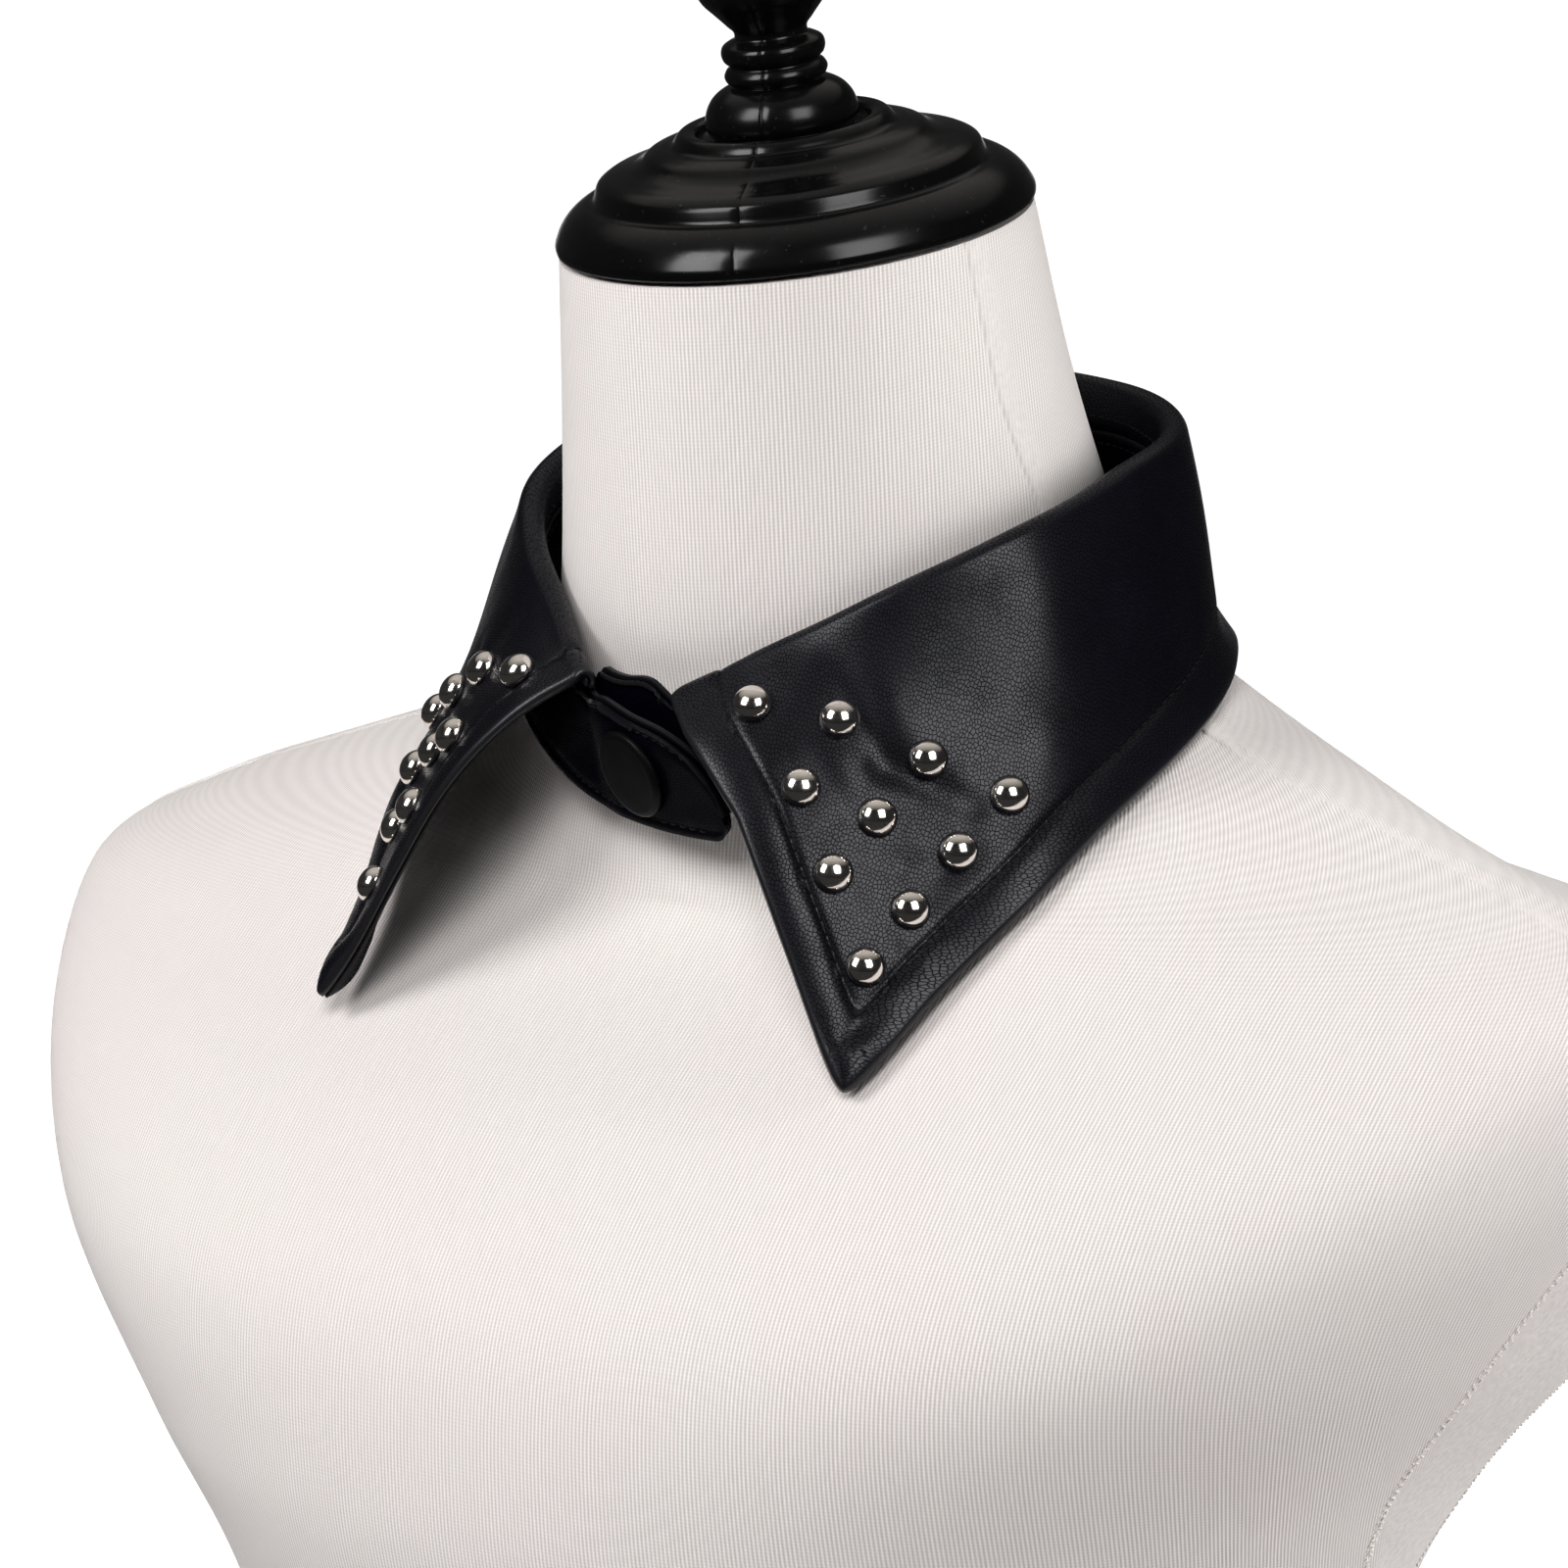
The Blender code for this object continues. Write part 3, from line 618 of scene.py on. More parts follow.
def bump_normal(tree, height, strength, distance):
    """Normals as if the height stood up from the face, at 1 by this distance."""
    bump = add_node(tree, "Bump", Strength=strength, Distance=distance, Height=height)
    return bump.outputs[0]


# %% The pebble and smudge groups


def build_pebble():
    """Rounded cells, uneven in height: 0 in the creases and up to 1 on the tops. The warp, in
    millimetres, is how far a noise pushes the cells out of true."""
    sockets = [("Vector", "Vector", None), ("Cells per metre", "Float", 1500.0), ("Warp", "Float", 0.3)]
    tree, given, out = new_group("pebble", sockets, ["Height"])
    where = given.outputs["Vector"]
    drift = add_node(tree, "TexNoise", Vector=where, Scale=420.0, Detail=2.0)
    warp = math_node(tree, "MULTIPLY", given.outputs["Warp"], MM)
    push = add_node(tree, "VectorMath", {"operation": "SCALE"}, i0=drift.outputs["Color"], Scale=warp)
    moved = add_node(tree, "VectorMath", {"operation": "ADD"}, i0=where, i1=push.outputs[0])
    cells = add_node(
        tree, "TexVoronoi", {"feature": "DISTANCE_TO_EDGE", "voronoi_dimensions": "2D"},
        Vector=moved.outputs[0], Scale=given.outputs["Cells per metre"], Randomness=0.85,
    )
    top = ramp(tree, cells.outputs["Distance"], 0.02, 0.2)
    patch = add_node(tree, "TexNoise", Vector=where, Scale=110.0, Detail=3.0)
    keep = ramp(tree, patch.outputs[0], 0.35, 0.65, 0.55, 1.0)
    set_inputs(tree, out, Height=math_node(tree, "MULTIPLY", top, keep))
    return tree


def build_smudge():
    """Cloudy unevenness around 0 from a broad noise, and rare specks from a fine one."""
    sockets = [("Vector", "Vector", None), ("Size", "Float", 0.03)]
    tree, given, out = new_group("smudge", sockets, ["Cloud", "Specks"])
    where = given.outputs["Vector"]
    scale = math_node(tree, "DIVIDE", 1.0, given.outputs["Size"])
    broad = add_node(tree, "TexNoise", Vector=where, Scale=scale, Detail=4.0, Roughness=0.6)
    fine = add_node(tree, "TexNoise", Vector=where, Scale=900.0, Detail=1.0)
    cloud = math_node(tree, "SUBTRACT", broad.outputs[0], 0.5)
    set_inputs(tree, out, Cloud=cloud, Specks=ramp(tree, fine.outputs[0], 0.70, 0.76))
    return tree


PEBBLE, SMUDGE = build_pebble(), build_smudge()


def new_finish(name, colour, roughness, metallic=0.0, **plain):
    """A material, its tree, its Principled node and an Object coordinate output."""
    finish = bpy.data.materials.new(name)
    finish.use_nodes = True
    tree = finish.node_tree
    shader = tree.nodes["Principled BSDF"]
    set_inputs(tree, shader, Base_Color=(*colour, 1), Roughness=roughness, Metallic=metallic, **plain)
    return finish, tree, shader, add_node(tree, "TexCoord").outputs["Object"]


def smudged_roughness(tree, smudge, low, high):
    """A roughness between low and high, as the smudge's clouds have it."""
    return ramp(tree, smudge.outputs["Cloud"], -0.2, 0.2, low, high)


# %% [markdown]
# The leather is fabric with a black polyurethane coat. Its grain is fine, about one and a half
# pebbles to the millimetre, each drawn out along a slant. A clear coat lies on the pebble tops and
# thins out in the creases, so the grain shows as small highlights on a dull bluish black, and the
# black is painted darker in the creases as shade. The turned edges are smoothed by wear: there the
# grain is flat and the coat is whole, and the black is paler, partly from wear and partly as a
# painted highlight along the edge.

# %% Coated leather
GRAIN_TURN = math.radians(42)  # the pebbles' long way, from the ply's length towards the fold
GRAIN_STRETCH = 1.6
PEBBLES_A_METRE = 1450.0
PEBBLE_HEIGHT = 0.08 * MM
WORN_ROUGHNESS = 0.17
# The base colour is darker in the pebbles' creases than on their tops: painted shade.
CREASE_SHADE_TONE, TOP_TONE = (0.0005, 0.0005, 0.0016), (0.0018, 0.0018, 0.0062)
# The turned edges' paler black: partly wear, partly a painted highlight along the edge.
WORN_AND_HIGHLIT_TONE = (0.02, 0.02, 0.022)


def coated_leather(name, grain=0.9, roughness=0.4, gloss=0.56):
    """Black coated leather. The coat's weight is the gloss, and the leather below reflects a third
    as much."""
    finish, tree, shader, spot = new_finish(
        name, (0.001, 0.001, 0.0015), roughness, Specular_IOR_Level=0.32 * gloss,
        Coat_Roughness=0.75 * roughness, Specular_Tint=(0.91, 0.91, 1.0, 1),
    )
    drawn = add_node(
        tree, "Mapping", {"vector_type": "TEXTURE"}, Rotation=(0, 0, GRAIN_TURN),
        Vector=add_node(tree, "UVMap", {"uv_map": "surface"}).outputs[0], Scale=(GRAIN_STRETCH, 1, 1),
    ).outputs[0]
    pebble = group_node(tree, PEBBLE, Vector=drawn, Cells_per_metre=PEBBLES_A_METRE, Warp=0.4)
    height = pebble.outputs["Height"]
    smudge = group_node(tree, SMUDGE, Vector=spot, Size=22 * MM)
    # The edge's share of wear: it smooths the grain and also paints the paler black highlight.
    worn_and_highlit = add_node(tree, "Attribute", {"attribute_name": "worn_and_highlit_edge"}).outputs["Fac"]
    dull = ramp(tree, height, 0.1, 0.75, roughness + 0.5, roughness)
    dull = math_node(tree, "MULTIPLY_ADD", smudge.outputs["Cloud"], 0.2, dull)
    coat = ramp(tree, height, 0.05, 0.6, 0.05 * gloss, gloss)
    # Darker base colour in the creases: painted shade.
    tone = mix_colour(tree, height, CREASE_SHADE_TONE, TOP_TONE)
    flattened = math_node(tree, "MULTIPLY", height, math_node(tree, "SUBTRACT", 1.0, worn_and_highlit))
    # At the edges the base colour turns paler: partly wear, partly a painted highlight.
    set_inputs(
        tree, shader, Roughness=mix_value(tree, worn_and_highlit, dull, WORN_ROUGHNESS),
        Coat_Weight=mix_value(tree, worn_and_highlit, coat, gloss),
        Base_Color=mix_colour(tree, math_node(tree, "MULTIPLY", worn_and_highlit, 0.8), tone, WORN_AND_HIGHLIT_TONE),
        Normal=bump_normal(tree, flattened, grain, PEBBLE_HEIGHT),
    )
    return finish


LEATHER = coated_leather("black coated leather")
UNDERSIDE = coated_leather("black leather underside", grain=0.5, roughness=0.45, gloss=0.2)
BAND_LEATHER = coated_leather("black band leather", grain=0.6, roughness=0.32, gloss=0.1)


def thread_finish():
    """Black polyester thread, with a twist of fine slanted bands."""
    finish, tree, shader, spot = new_finish(
        "black thread", (0.006, 0.006, 0.007), 0.55, Specular_IOR_Level=0.3
    )
    slanted = {"bands_direction": "DIAGONAL"}
    twist = add_node(tree, "TexWave", slanted, Vector=spot, Scale=900.0, Distortion=1.0)
    set_inputs(tree, shader, Normal=bump_normal(tree, twist.outputs["Fac"], 0.5, 0.1 * MM))
    return finish


THREAD = thread_finish()

# %% The fall's two plies


def leather_piece(name, points, edge, finish, node, bevel=0.0):
    """A ply from its grid, with its map, its edge wear and painted edge highlight, and its thickness."""
    faces = grid_faces(*points.shape[:2])
    piece = make_piece(name, points, faces, finish, "coated_leather", [node], uv=surface_map(points, faces))
    add_mask(piece, "worn_and_highlit_edge", edge)
    return wall(piece, PLY, bevel)


upper_points, upper_edge = whole_fall(0.0)
upper = leather_piece("fall_upper", upper_points, upper_edge, LEATHER, "upper_collar")
under_points, under_edge = whole_fall(PLY + SEAM_GAP, inset=UNDER_INSET)
under = leather_piece("fall_under", under_points, under_edge, UNDERSIDE, "under_collar")
areas = [round(grid_area(points), 4) for points in (upper_points, under_points)]
print("fall:", upper_points.shape, "areas, m2:", areas)

# %% [markdown]
# ## The band and its lapping tabs
#
# The band stands round the neck below the fall. Its upper edge is the fall's seam and its lower edge
# has its own table. At the front it runs on as two tabs with rounded ends: each edge comes in by
# r - sqrt(r^2 - (r - e)^2), a quarter circle, where e is how far the tab's end still is.

# %% The band's tables
BAND_TOP_GAP = 0.6 * MM
BAND = half_round("turn reach height", [
    (9.5, 72.5, -42.0), (26.5, 72.0, -36.5), (44.0, 73.0, -29.0), (63.0, 75.0, -19.5),
    (89.0, 74.5, -9.5), (116.0, 71.0, -3.0), (147.0, 64.0, 2.0), (180.0, 58.5, 3.0),
])
TAB_EDGES = ("top_turn", "top_reach", "top_height"), ("low_turn", "low_reach", "low_height")
TAB_NAMES = " ".join(sum(TAB_EDGES, ()))
UNDER_TAB = columns(TAB_NAMES, [
    (3.0, 79.0, -12.8, 3.0, 71.0, -41.8), (-2.5, 78.0, -12.9, -2.5, 70.0, -41.3),
    (-7.0, 76.2, -12.6, -7.0, 69.4, -40.8), (-11.5, 74.5, -11.4, -11.5, 69.0, -40.3),
])
OVER_TAB = columns(TAB_NAMES, [
    (-3.5, 82.8, -17.5, -3.5, 74.6, -43.2), (3.5, 86.5, -19.6, 3.5, 75.6, -44.0),
    (10.5, 89.8, -21.4, 10.5, 76.8, -44.4), (17.5, 92.5, -22.6, 17.5, 78.3, -44.6),
])
UNDER_TAB_CORNERS = (5 * MM, 4 * MM)
OVER_TAB_CORNERS = (17 * MM, 4 * MM)
BAND_STATIONS = 110
TAB_STATIONS = 34
BAND_LINES = np.array([
    0, 0.02, 0.05, 0.08, 0.11, 0.15, 0.22, 0.3, 0.4, 0.5,
    0.6, 0.7, 0.78, 0.84, 0.88, 0.91, 0.94, 0.97, 1,
])
BAND_STITCH_IN, BAND_GROOVE_WIDTH, BAND_GROOVE_DEPTH = 2.4 * MM, 0.7 * MM, 0.35 * MM
BAND_PUFF, BAND_PUCKER = 0.3 * MM, 0.25 * MM
CUT_EDGE = 0.22 * MM  # the bevel on the band's cut edges


def tab_edges(tab, corners, joint, before):
    """A tab's top and bottom edge from the fall's front edge to its rounded end."""
    top, low = (
        np.vstack([before[k], joint[k], polar(*(tab[name] for name in TAB_EDGES[k]))]) for k in (0, 1)
    )
    count = len(top) - 2
    knots = np.arange(-1.0, count + 1)
    at = count * (1 - (1 - np.arange(1, TAB_STATIONS + 1) / TAB_STATIONS) ** 1.3)
    top, low = through(top, at, knots), through(low, at, knots)
    to_end = np.linalg.norm(top - top[-1], axis=1)
    down = unit(low - top)
    for edge, way, radius in ((top, down, corners[0]), (low, -down, corners[1])):
        left = np.clip(radius - to_end, 0, radius)[:, None]
        edge += way * (radius - np.sqrt(radius**2 - left**2))
    return top, low


def band_edges():
    """The band's top and bottom edge on its neck side, from the wearer's left end to the right."""
    at = np.linspace(0, BACK, BAND_STATIONS + 1)

    def round_both(half):
        return np.concatenate([half, half[-2::-1] * [-1, 1, 1]])

    low = round_both(polar(*(through(BAND[name], at) for name in ("turn", "reach", "height"))))
    top = round_both(fall(at, 0 * at)) - [0, 0, BAND_TOP_GAP]
    step = BAND_STATIONS // 20
    left, right = (
        tab_edges(tab, corners, (top[end], low[end]), (top[end + back], low[end + back]))
        for tab, corners, end, back in (
            (UNDER_TAB, UNDER_TAB_CORNERS, 0, step), (OVER_TAB, OVER_TAB_CORNERS, -1, -step),
        )
    )
    return tuple(np.concatenate([left[k][::-1], (top, low)[k], right[k]]) for k in (0, 1))


def band_grid(depth, lift=0.0):
    """The neck side moved out by depth, as [place round, line down], softly puckered at the edges."""
    top, low = band_edges()
    grid = top[:, None] + (low - top)[:, None] * BAND_LINES[:, None]
    away = facing_off(grid_normals(grid), grid, [0, COLLAR_AXIS_Y, 0])
    breadth = np.linalg.norm(low - top, axis=1)[:, None]
    from_top, to_low = BAND_LINES * breadth, (1 - BAND_LINES) * breadth
    stitched = sum(bell(edge - BAND_STITCH_IN, BAND_GROOVE_WIDTH) for edge in (from_top, to_low))
    pucker = BAND_PUCKER * swell(grid, 26 * MM, 31)
    height = depth + lift * (BAND_PUFF - BAND_GROOVE_DEPTH * stitched + pucker)
    if depth:
        sink = np.clip(BAND_TOP_GAP + depth * 0.35 - from_top, 0, None)
        grid = grid + unit(low - top)[:, None] * (sink * (from_top < 2 * MM))[..., None]
    # The band's edge share of wear, which also paints a paler black there as a highlight.
    worn_and_highlit = bell(np.minimum(from_top, to_low), BAND_GROOVE_WIDTH)
    return seated(grid + away * height[..., None]), worn_and_highlit


inner_points, inner_edge = (part[::-1] for part in band_grid(0.0))
inner = leather_piece("band_neck_side", inner_points, inner_edge, BAND_LEATHER, "band_inner", CUT_EDGE)
outer_points, outer_edge = band_grid(2 * PLY + SEAM_GAP, lift=1.0)
outer = leather_piece("band_front", outer_points, outer_edge, BAND_LEATHER, "band_outer", CUT_EDGE)
print("band:", outer_points.shape, "area, m2:", round(grid_area(outer_points), 4))

# %% [markdown]
# ## Topstitching
#
# A lockstitch shows as short raised dashes with a gap where the thread dives. Each dash here is a
# thin tube whose middle line rises as a half sine over its length. All of them are built at once, as
# an array of [stitch, ring, corner, xyz].

# %% Stitches
THREAD_RISE, THREAD_SINK = 0.34 * MM, 0.12 * MM
FINE_STITCH = {"pitch": 2.6 * MM, "radius": 0.2 * MM}  # on the band and its seam
SEAM_STITCH_PLACE = 0.34
BAND_ENDS = 4  # grid places at each end of the band that carry no stitch


def stitches(path, normals, pitch=3.1 * MM, gap=0.7 * MM, radius=0.24 * MM):
    """Points and faces of the dashes along a path that lies on a surface with these normals."""
    run = np.concatenate([[0], np.cumsum(np.linalg.norm(np.diff(path, axis=0), axis=1))])
    count = int(run[-1] // pitch)
    rings, corners = 6, 6
    share = np.linspace(0, 1, rings)
    where = (np.arange(count)[:, None] + 0.1) * pitch + share * (pitch - gap)
    middle = np.stack([np.interp(where, run, path[:, k]) for k in range(3)], -1)
    out = unit(np.stack([np.interp(where, run, normals[:, k]) for k in range(3)], -1))
    way = unit(np.gradient(middle, axis=1))
    side = np.cross(way, out)
    thick = radius * np.sqrt(np.clip(1 - (2 * share - 1) ** 4, 0.04, 1))[None, :, None, None]
    middle = middle + out * (THREAD_RISE * np.sin(math.pi * share) - THREAD_SINK)[None, :, None]
    angle = all_round(corners)[None, None, :, None]
    ring = side[:, :, None] * np.cos(angle) + out[:, :, None] * np.sin(angle)
    points = middle[:, :, None] + ring * thick
    one = grid_faces(rings, corners, closed=True)
    caps = np.array([np.arange(corners)[::-1], (rings - 1) * corners + np.arange(corners)])
    start = (np.arange(count) * rings * corners)[:, None, None]
    faces = [list(face) for face in (one + start).reshape(-1, 4)]
    faces += [list(face) for face in (caps + start).reshape(-1, corners)]
    return points.reshape(-1, 3), faces


def joined(parts):
    """Several (points, faces) as one."""
    points, faces, start = [], [], 0
    for some, shapes in parts:
        points.append(some)
        faces += [[corner + start for corner in face] for face in shapes]
        start += len(some)
    return np.concatenate(points), faces


def edge_row(side):
    """The stitch line of one side: down from the fold, round the point and back along the hem."""
    corner_at = STITCH_IN / front_speed(2.86)
    down = np.linspace(1.15, 3 - STITCH_IN / float(leg_length(corner_at)), 90)
    front = np.stack([STITCH_IN / front_speed(down), down], -1)
    back = np.linspace(corner_at, BACK, 240)[1:]
    hem = np.stack([back, 3 - STITCH_IN / leg_length(back)], -1)
    where = np.vstack([front, hem])
    return leather_face(where[:, 0], where[:, 1], side)


def seam_row(side):
    """The stitch line of one side along the seam inside the neck."""
    at = np.linspace(0.05, BACK, 260)
    return leather_face(at, 0 * at + SEAM_STITCH_PLACE, side)


def band_row(points, line, first=BAND_ENDS):
    """The stitch line along one line of a band grid, from one place round the neck to its end."""
    return points[first:-BAND_ENDS, line], grid_normals(points)[first:-BAND_ENDS, line]


fine_rows = [seam_row(side) for side in (1, -1)]
fine_rows += [band_row(outer_points, 3, -TAB_STATIONS), band_row(outer_points, -4)]
fine_rows += [band_row(inner_points, 3)]
rows = [stitches(*edge_row(side)) for side in (1, -1)]
rows += [stitches(*row, **FINE_STITCH) for row in fine_rows]
thread_points, thread_faces = joined(rows)
thread = make_piece("topstitching", thread_points, thread_faces, THREAD, "coated_leather")
print("stitch faces:", len(thread_faces))

# %% [markdown]
# ## Turned pieces
#
# Studs, snap, neck cap and finial are all turned: a profile swept round an axis. The profile is a
# smooth curve through (radius, height) pairs, with the pairs doubled where a corner stays crisp.

# %% Turning


def curve_through(pairs, steps):
    """A smooth curve through the pairs, stepped evenly along its length."""
    pairs = np.array(pairs, float)
    run = np.concatenate([[0], np.cumsum(np.linalg.norm(np.diff(pairs, axis=0), axis=1))])
    return through(pairs, np.linspace(0, run[-1], steps), run)


def closed_profile(pairs, steps):
    """A curve through the pairs, given in millimetres, with a straight step to the last one."""
    return np.vstack([curve_through(pairs[:-1], steps), pairs[-1:]]) * MM


def swept(profile, angles):
    """Points [profile, angle] of (r cos a, r sin a, h)."""
    around = np.stack([np.cos(angles), np.sin(angles)], -1)
    ring = profile[:, :1, None] * around
    height = np.broadcast_to(profile[:, 1, None, None], ring.shape[:2] + (1,))
    return np.concatenate([ring, height], -1)


def turned(profile, angles):
    """Points [profile, angle] about +Z and the faces, with one point at each end on the axis."""
    body = swept(profile[1:-1], angles)
    rings, sides = body.shape[:2]
    top, low = [0, 0, profile[0, 1]], [0, 0, profile[-1, 1]]
    points = np.vstack([[top], body.reshape(-1, 3), [low]])
    faces = [list(face) for face in grid_faces(rings, sides, closed=True)[:, ::-1] + 1]
    index = np.arange(sides)
    after = (index + 1) % sides
    last = len(points) - 1
    faces += [[0, a + 1, b + 1] for a, b in zip(index, after)]
    faces += [[last, last - sides + b, last - sides + a] for a, b in zip(index, after)]
    return points, faces


def stood(points, seat, axis):
    """The points moved so that their own Z axis stands on the seat."""
    side = unit(np.cross(axis, UP + [0.01, 0, 0]))
    return seat + points[:, :1] * side + points[:, 1:2] * np.cross(axis, side) + points[:, 2:] * axis


# %% [markdown]
# The studs are pressed sheet brass with a nickel plate, polished. A plate is never perfect: tiny
# specks and a very slight orange peel break its highlights up.

# %% Studs
NICKEL_TONE, SPECK_TONE = (0.83, 0.79, 0.75), (0.55, 0.52, 0.50)


def nickel():
    """Polished nickel, a little warm, with specks and a slight orange peel."""
    finish, tree, shader, spot = new_finish("polished nickel", NICKEL_TONE, 0.12, metallic=1.0)
    smudge = group_node(tree, SMUDGE, Vector=spot, Size=6 * MM)
    peel = add_node(tree, "TexNoise", Vector=spot, Scale=900.0, Detail=1.0)
    set_inputs(
        tree, shader, Roughness=smudged_roughness(tree, smudge, 0.09, 0.17),
        Base_Color=mix_colour(tree, smudge.outputs["Specks"], NICKEL_TONE, SPECK_TONE),
        Normal=bump_normal(tree, peel.outputs[0], 0.12, 0.1 * MM),
    )
    return finish


STUD_RADIUS, STUD_HEIGHT = 4.25 * MM, 3.65 * MM
STUD_SINK = 0.25 * MM


def stud_profile():
    """A dome: r = R cos(a) and h = H sin(a)^0.92, with a short neck that sinks into the leather."""
    rise = np.radians(np.linspace(90, 2, 18))
    dome = np.stack([STUD_RADIUS * np.cos(rise), STUD_HEIGHT * np.sin(rise) ** 0.92], -1)
    neck = np.array([[4.1, -0.2], [3.7, -0.7], [0, -0.7]]) * MM
    return np.vstack([dome, neck])


stud = turned(stud_profile(), all_round(40))
studs = joined([
    (stood(stud[0], seat - axis * STUD_SINK, axis), stud[1]) for seat, axis in STUD_SEATS
])
make_piece("dome_studs", *studs, nickel(), "stud_metal", STUD_NODES, sharp=50)
print("stud faces:", len(studs[1]))

# %% [markdown]
# The snap's cap is a flat painted disc with a rounded rim. It is dull beside the studs, so it shows
# as an even grey oval. Its hidden socket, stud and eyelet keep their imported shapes.

# %% Snap


def gunmetal():
    """Dark paint on metal, with a fine orange peel."""
    finish, tree, shader, spot = new_finish(
        "gunmetal snap", (0.004, 0.004, 0.0045), 0.4, Specular_IOR_Level=0.12
    )
    smudge = group_node(tree, SMUDGE, Vector=spot, Size=8 * MM)
    peel = group_node(tree, PEBBLE, Vector=spot, Cells_per_metre=2600.0, Warp=0.2)
    set_inputs(
        tree, shader, Roughness=smudged_roughness(tree, smudge, 0.30, 0.46),
        Normal=bump_normal(tree, peel.outputs["Height"], 0.08, 0.1 * MM),
    )
    return finish


GUNMETAL = gunmetal()
CAP_DISC = [
    (0, 1.0), (4.0, 1.0), (7.6, 0.95), (9.0, 0.88), (9.6, 0.65),
    (9.9, 0.3), (10.0, -0.1), (9.9, -0.5), (9.6, -0.9), (0, -0.9),
]
disc_points, disc_faces = turned(closed_profile(CAP_DISC, 40), all_round(72))
disc_points = stood(disc_points, *node_seat("snap_cap"))
make_piece("snap_disc", disc_points, disc_faces, GUNMETAL, "snap_metal", ["snap_cap"], sharp=50)
for name in ("snap_socket", "snap_stud", "snap_eyelet"):
    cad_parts[name].data.materials.clear()
    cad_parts[name].data.materials.append(GUNMETAL)

# %% [markdown]
# ## The dress form
#
# The form is a soft body under a tube of ribbed jersey. Its rings are a circle's equation with
# powers, so one table makes the round neck, the sloping shoulders and the flat waist. The jersey's
# ribs need distances over the surface, so the mesh carries its own map: u round each ring from the
# front, and v down from the neck, both in metres.

# %% The form's rings
FORM = columns("height middle lean half_width front back front_fullness back_fullness", [
    (80, -15.3, 12.2, 51.5, 52, 52, 2.0, 2.0), (45, -7.5, 14.0, 56.0, 57, 53, 2.0, 2.0),
    (13, 0.0, 15.0, 61.5, 62, 57, 2.0, 2.0), (-11, 5.0, 17.0, 70.0, 63, 62, 2.0, 1.9),
    (-29, 7.0, 18.0, 93.0, 68, 69, 1.9, 1.8), (-42, 6.0, 15.5, 142.0, 66, 71, 1.9, 1.5),
    (-55, 6.0, 9.5, 184.0, 66, 75, 2.2, 1.4), (-72, 7.0, 5.0, 214.0, 78, 87, 2.4, 2.1),
    (-105, 5.0, 1.0, 207.0, 108, 96, 2.6, 2.6), (-145, 2.0, -2.0, 183.0, 131, 98, 2.6, 2.6),
    (-181, 0.0, 0.0, 154.0, 133, 93, 2.4, 2.4), (-215, 0.0, 0.0, 136.0, 125, 88, 2.2, 2.2),
    (-266, 0.0, 0.0, 125.0, 106, 81, 2.1, 2.1), (-330, 0.0, 0.0, 113.0, 88, 74, 2.0, 2.0),
])
FORM_LEVELS = 200
SEAM_LINES = math.radians(97)  # where the mesh has close lines for the side seam
# the side seam's turn at each ring of the table
SEAM_TURNS = np.radians([81, 81.5, 87, 92, 95, 87.5, 84, 86, 92, 95, 95.5, 96, 96, 96])


def form_point(level, turn):
    """A point of the form: x and y are powers of sine and cosine, and the ring leans forward."""
    ring = {name: through(values, level) for name, values in FORM.items()}
    side, front = np.sin(turn), -np.cos(turn)
    power = 2 / np.where(front < 0, ring["front_fullness"], ring["back_fullness"])
    depth = np.where(front < 0, ring["front"], ring["back"])
    x = ring["half_width"] * np.sign(side) * np.abs(side) ** power
    y = depth * np.sign(front) * np.abs(front) ** power
    y, z = ring["middle"] + y * np.cos(ring["lean"]), ring["height"] + y * np.sin(ring["lean"])
    return np.stack([x, y, z + DATUM], -1)


def form_turns():
    """Angles round the form, closer together beside the two seams."""
    even = all_round(150)
    close = np.radians([
        -2.2, -1.5, -1.0, -0.65, -0.35, 0, 0.35, 0.65, 1.0, 1.5, 2.2, 3.3, 4.5, 5.2, 5.9, 6.6, 7.5,
    ])
    seams = np.concatenate([SEAM_LINES + close, 2 * math.pi - SEAM_LINES - close])
    apart = np.abs(even[:, None] - seams).min(1)
    return np.sort(np.concatenate([even[apart > math.radians(1.0)], seams]))


SEAM_BEND = 0.9  # how far round, in radians, the mesh's lines give way to the seam's
turns = form_turns()
levels = np.linspace(0, len(FORM["height"]) - 1, FORM_LEVELS + 1)
shift = (through(SEAM_TURNS, levels) - SEAM_LINES)[:, None]
left_pull = bell(turns - SEAM_LINES, SEAM_BEND)
right_pull = bell(turns - 2 * math.pi + SEAM_LINES, SEAM_BEND)
bent = turns + shift * (left_pull - right_pull)
jersey_points = form_point(levels[:, None], bent)
across = np.linalg.norm(np.diff(jersey_points, axis=1, append=jersey_points[:, :1]), axis=-1)
u_map = np.hstack([np.zeros((len(levels), 1)), np.cumsum(across, 1)])
u_map = np.where(np.append(turns, 2 * math.pi) > math.pi, u_map - u_map[:, -1:], u_map)
down_front = np.linalg.norm(np.diff(jersey_points[:, 0], axis=0), axis=1)
v_map = np.concatenate([[0], np.cumsum(down_front)])

# %% [markdown]
# The side seam is a narrow groove, with its seam allowance as a low strip behind it. It stops at the
# armhole: an oval on the form's side, drawn by its middle and its two half lengths in turn and height.

# %% Side seam and armholes
ARM_TURN, ARM_HALF_TURN = math.radians(95.7), math.radians(11.4)
ARM_HEIGHT, ARM_HALF_HEIGHT = -146 * MM, 68 * MM
ALLOWANCE_WIDTH, ALLOWANCE_HEIGHT = 6 * MM, 0.4 * MM
SEAM_DEPTH, SEAM_WIDTH = 0.4 * MM, 0.45 * MM


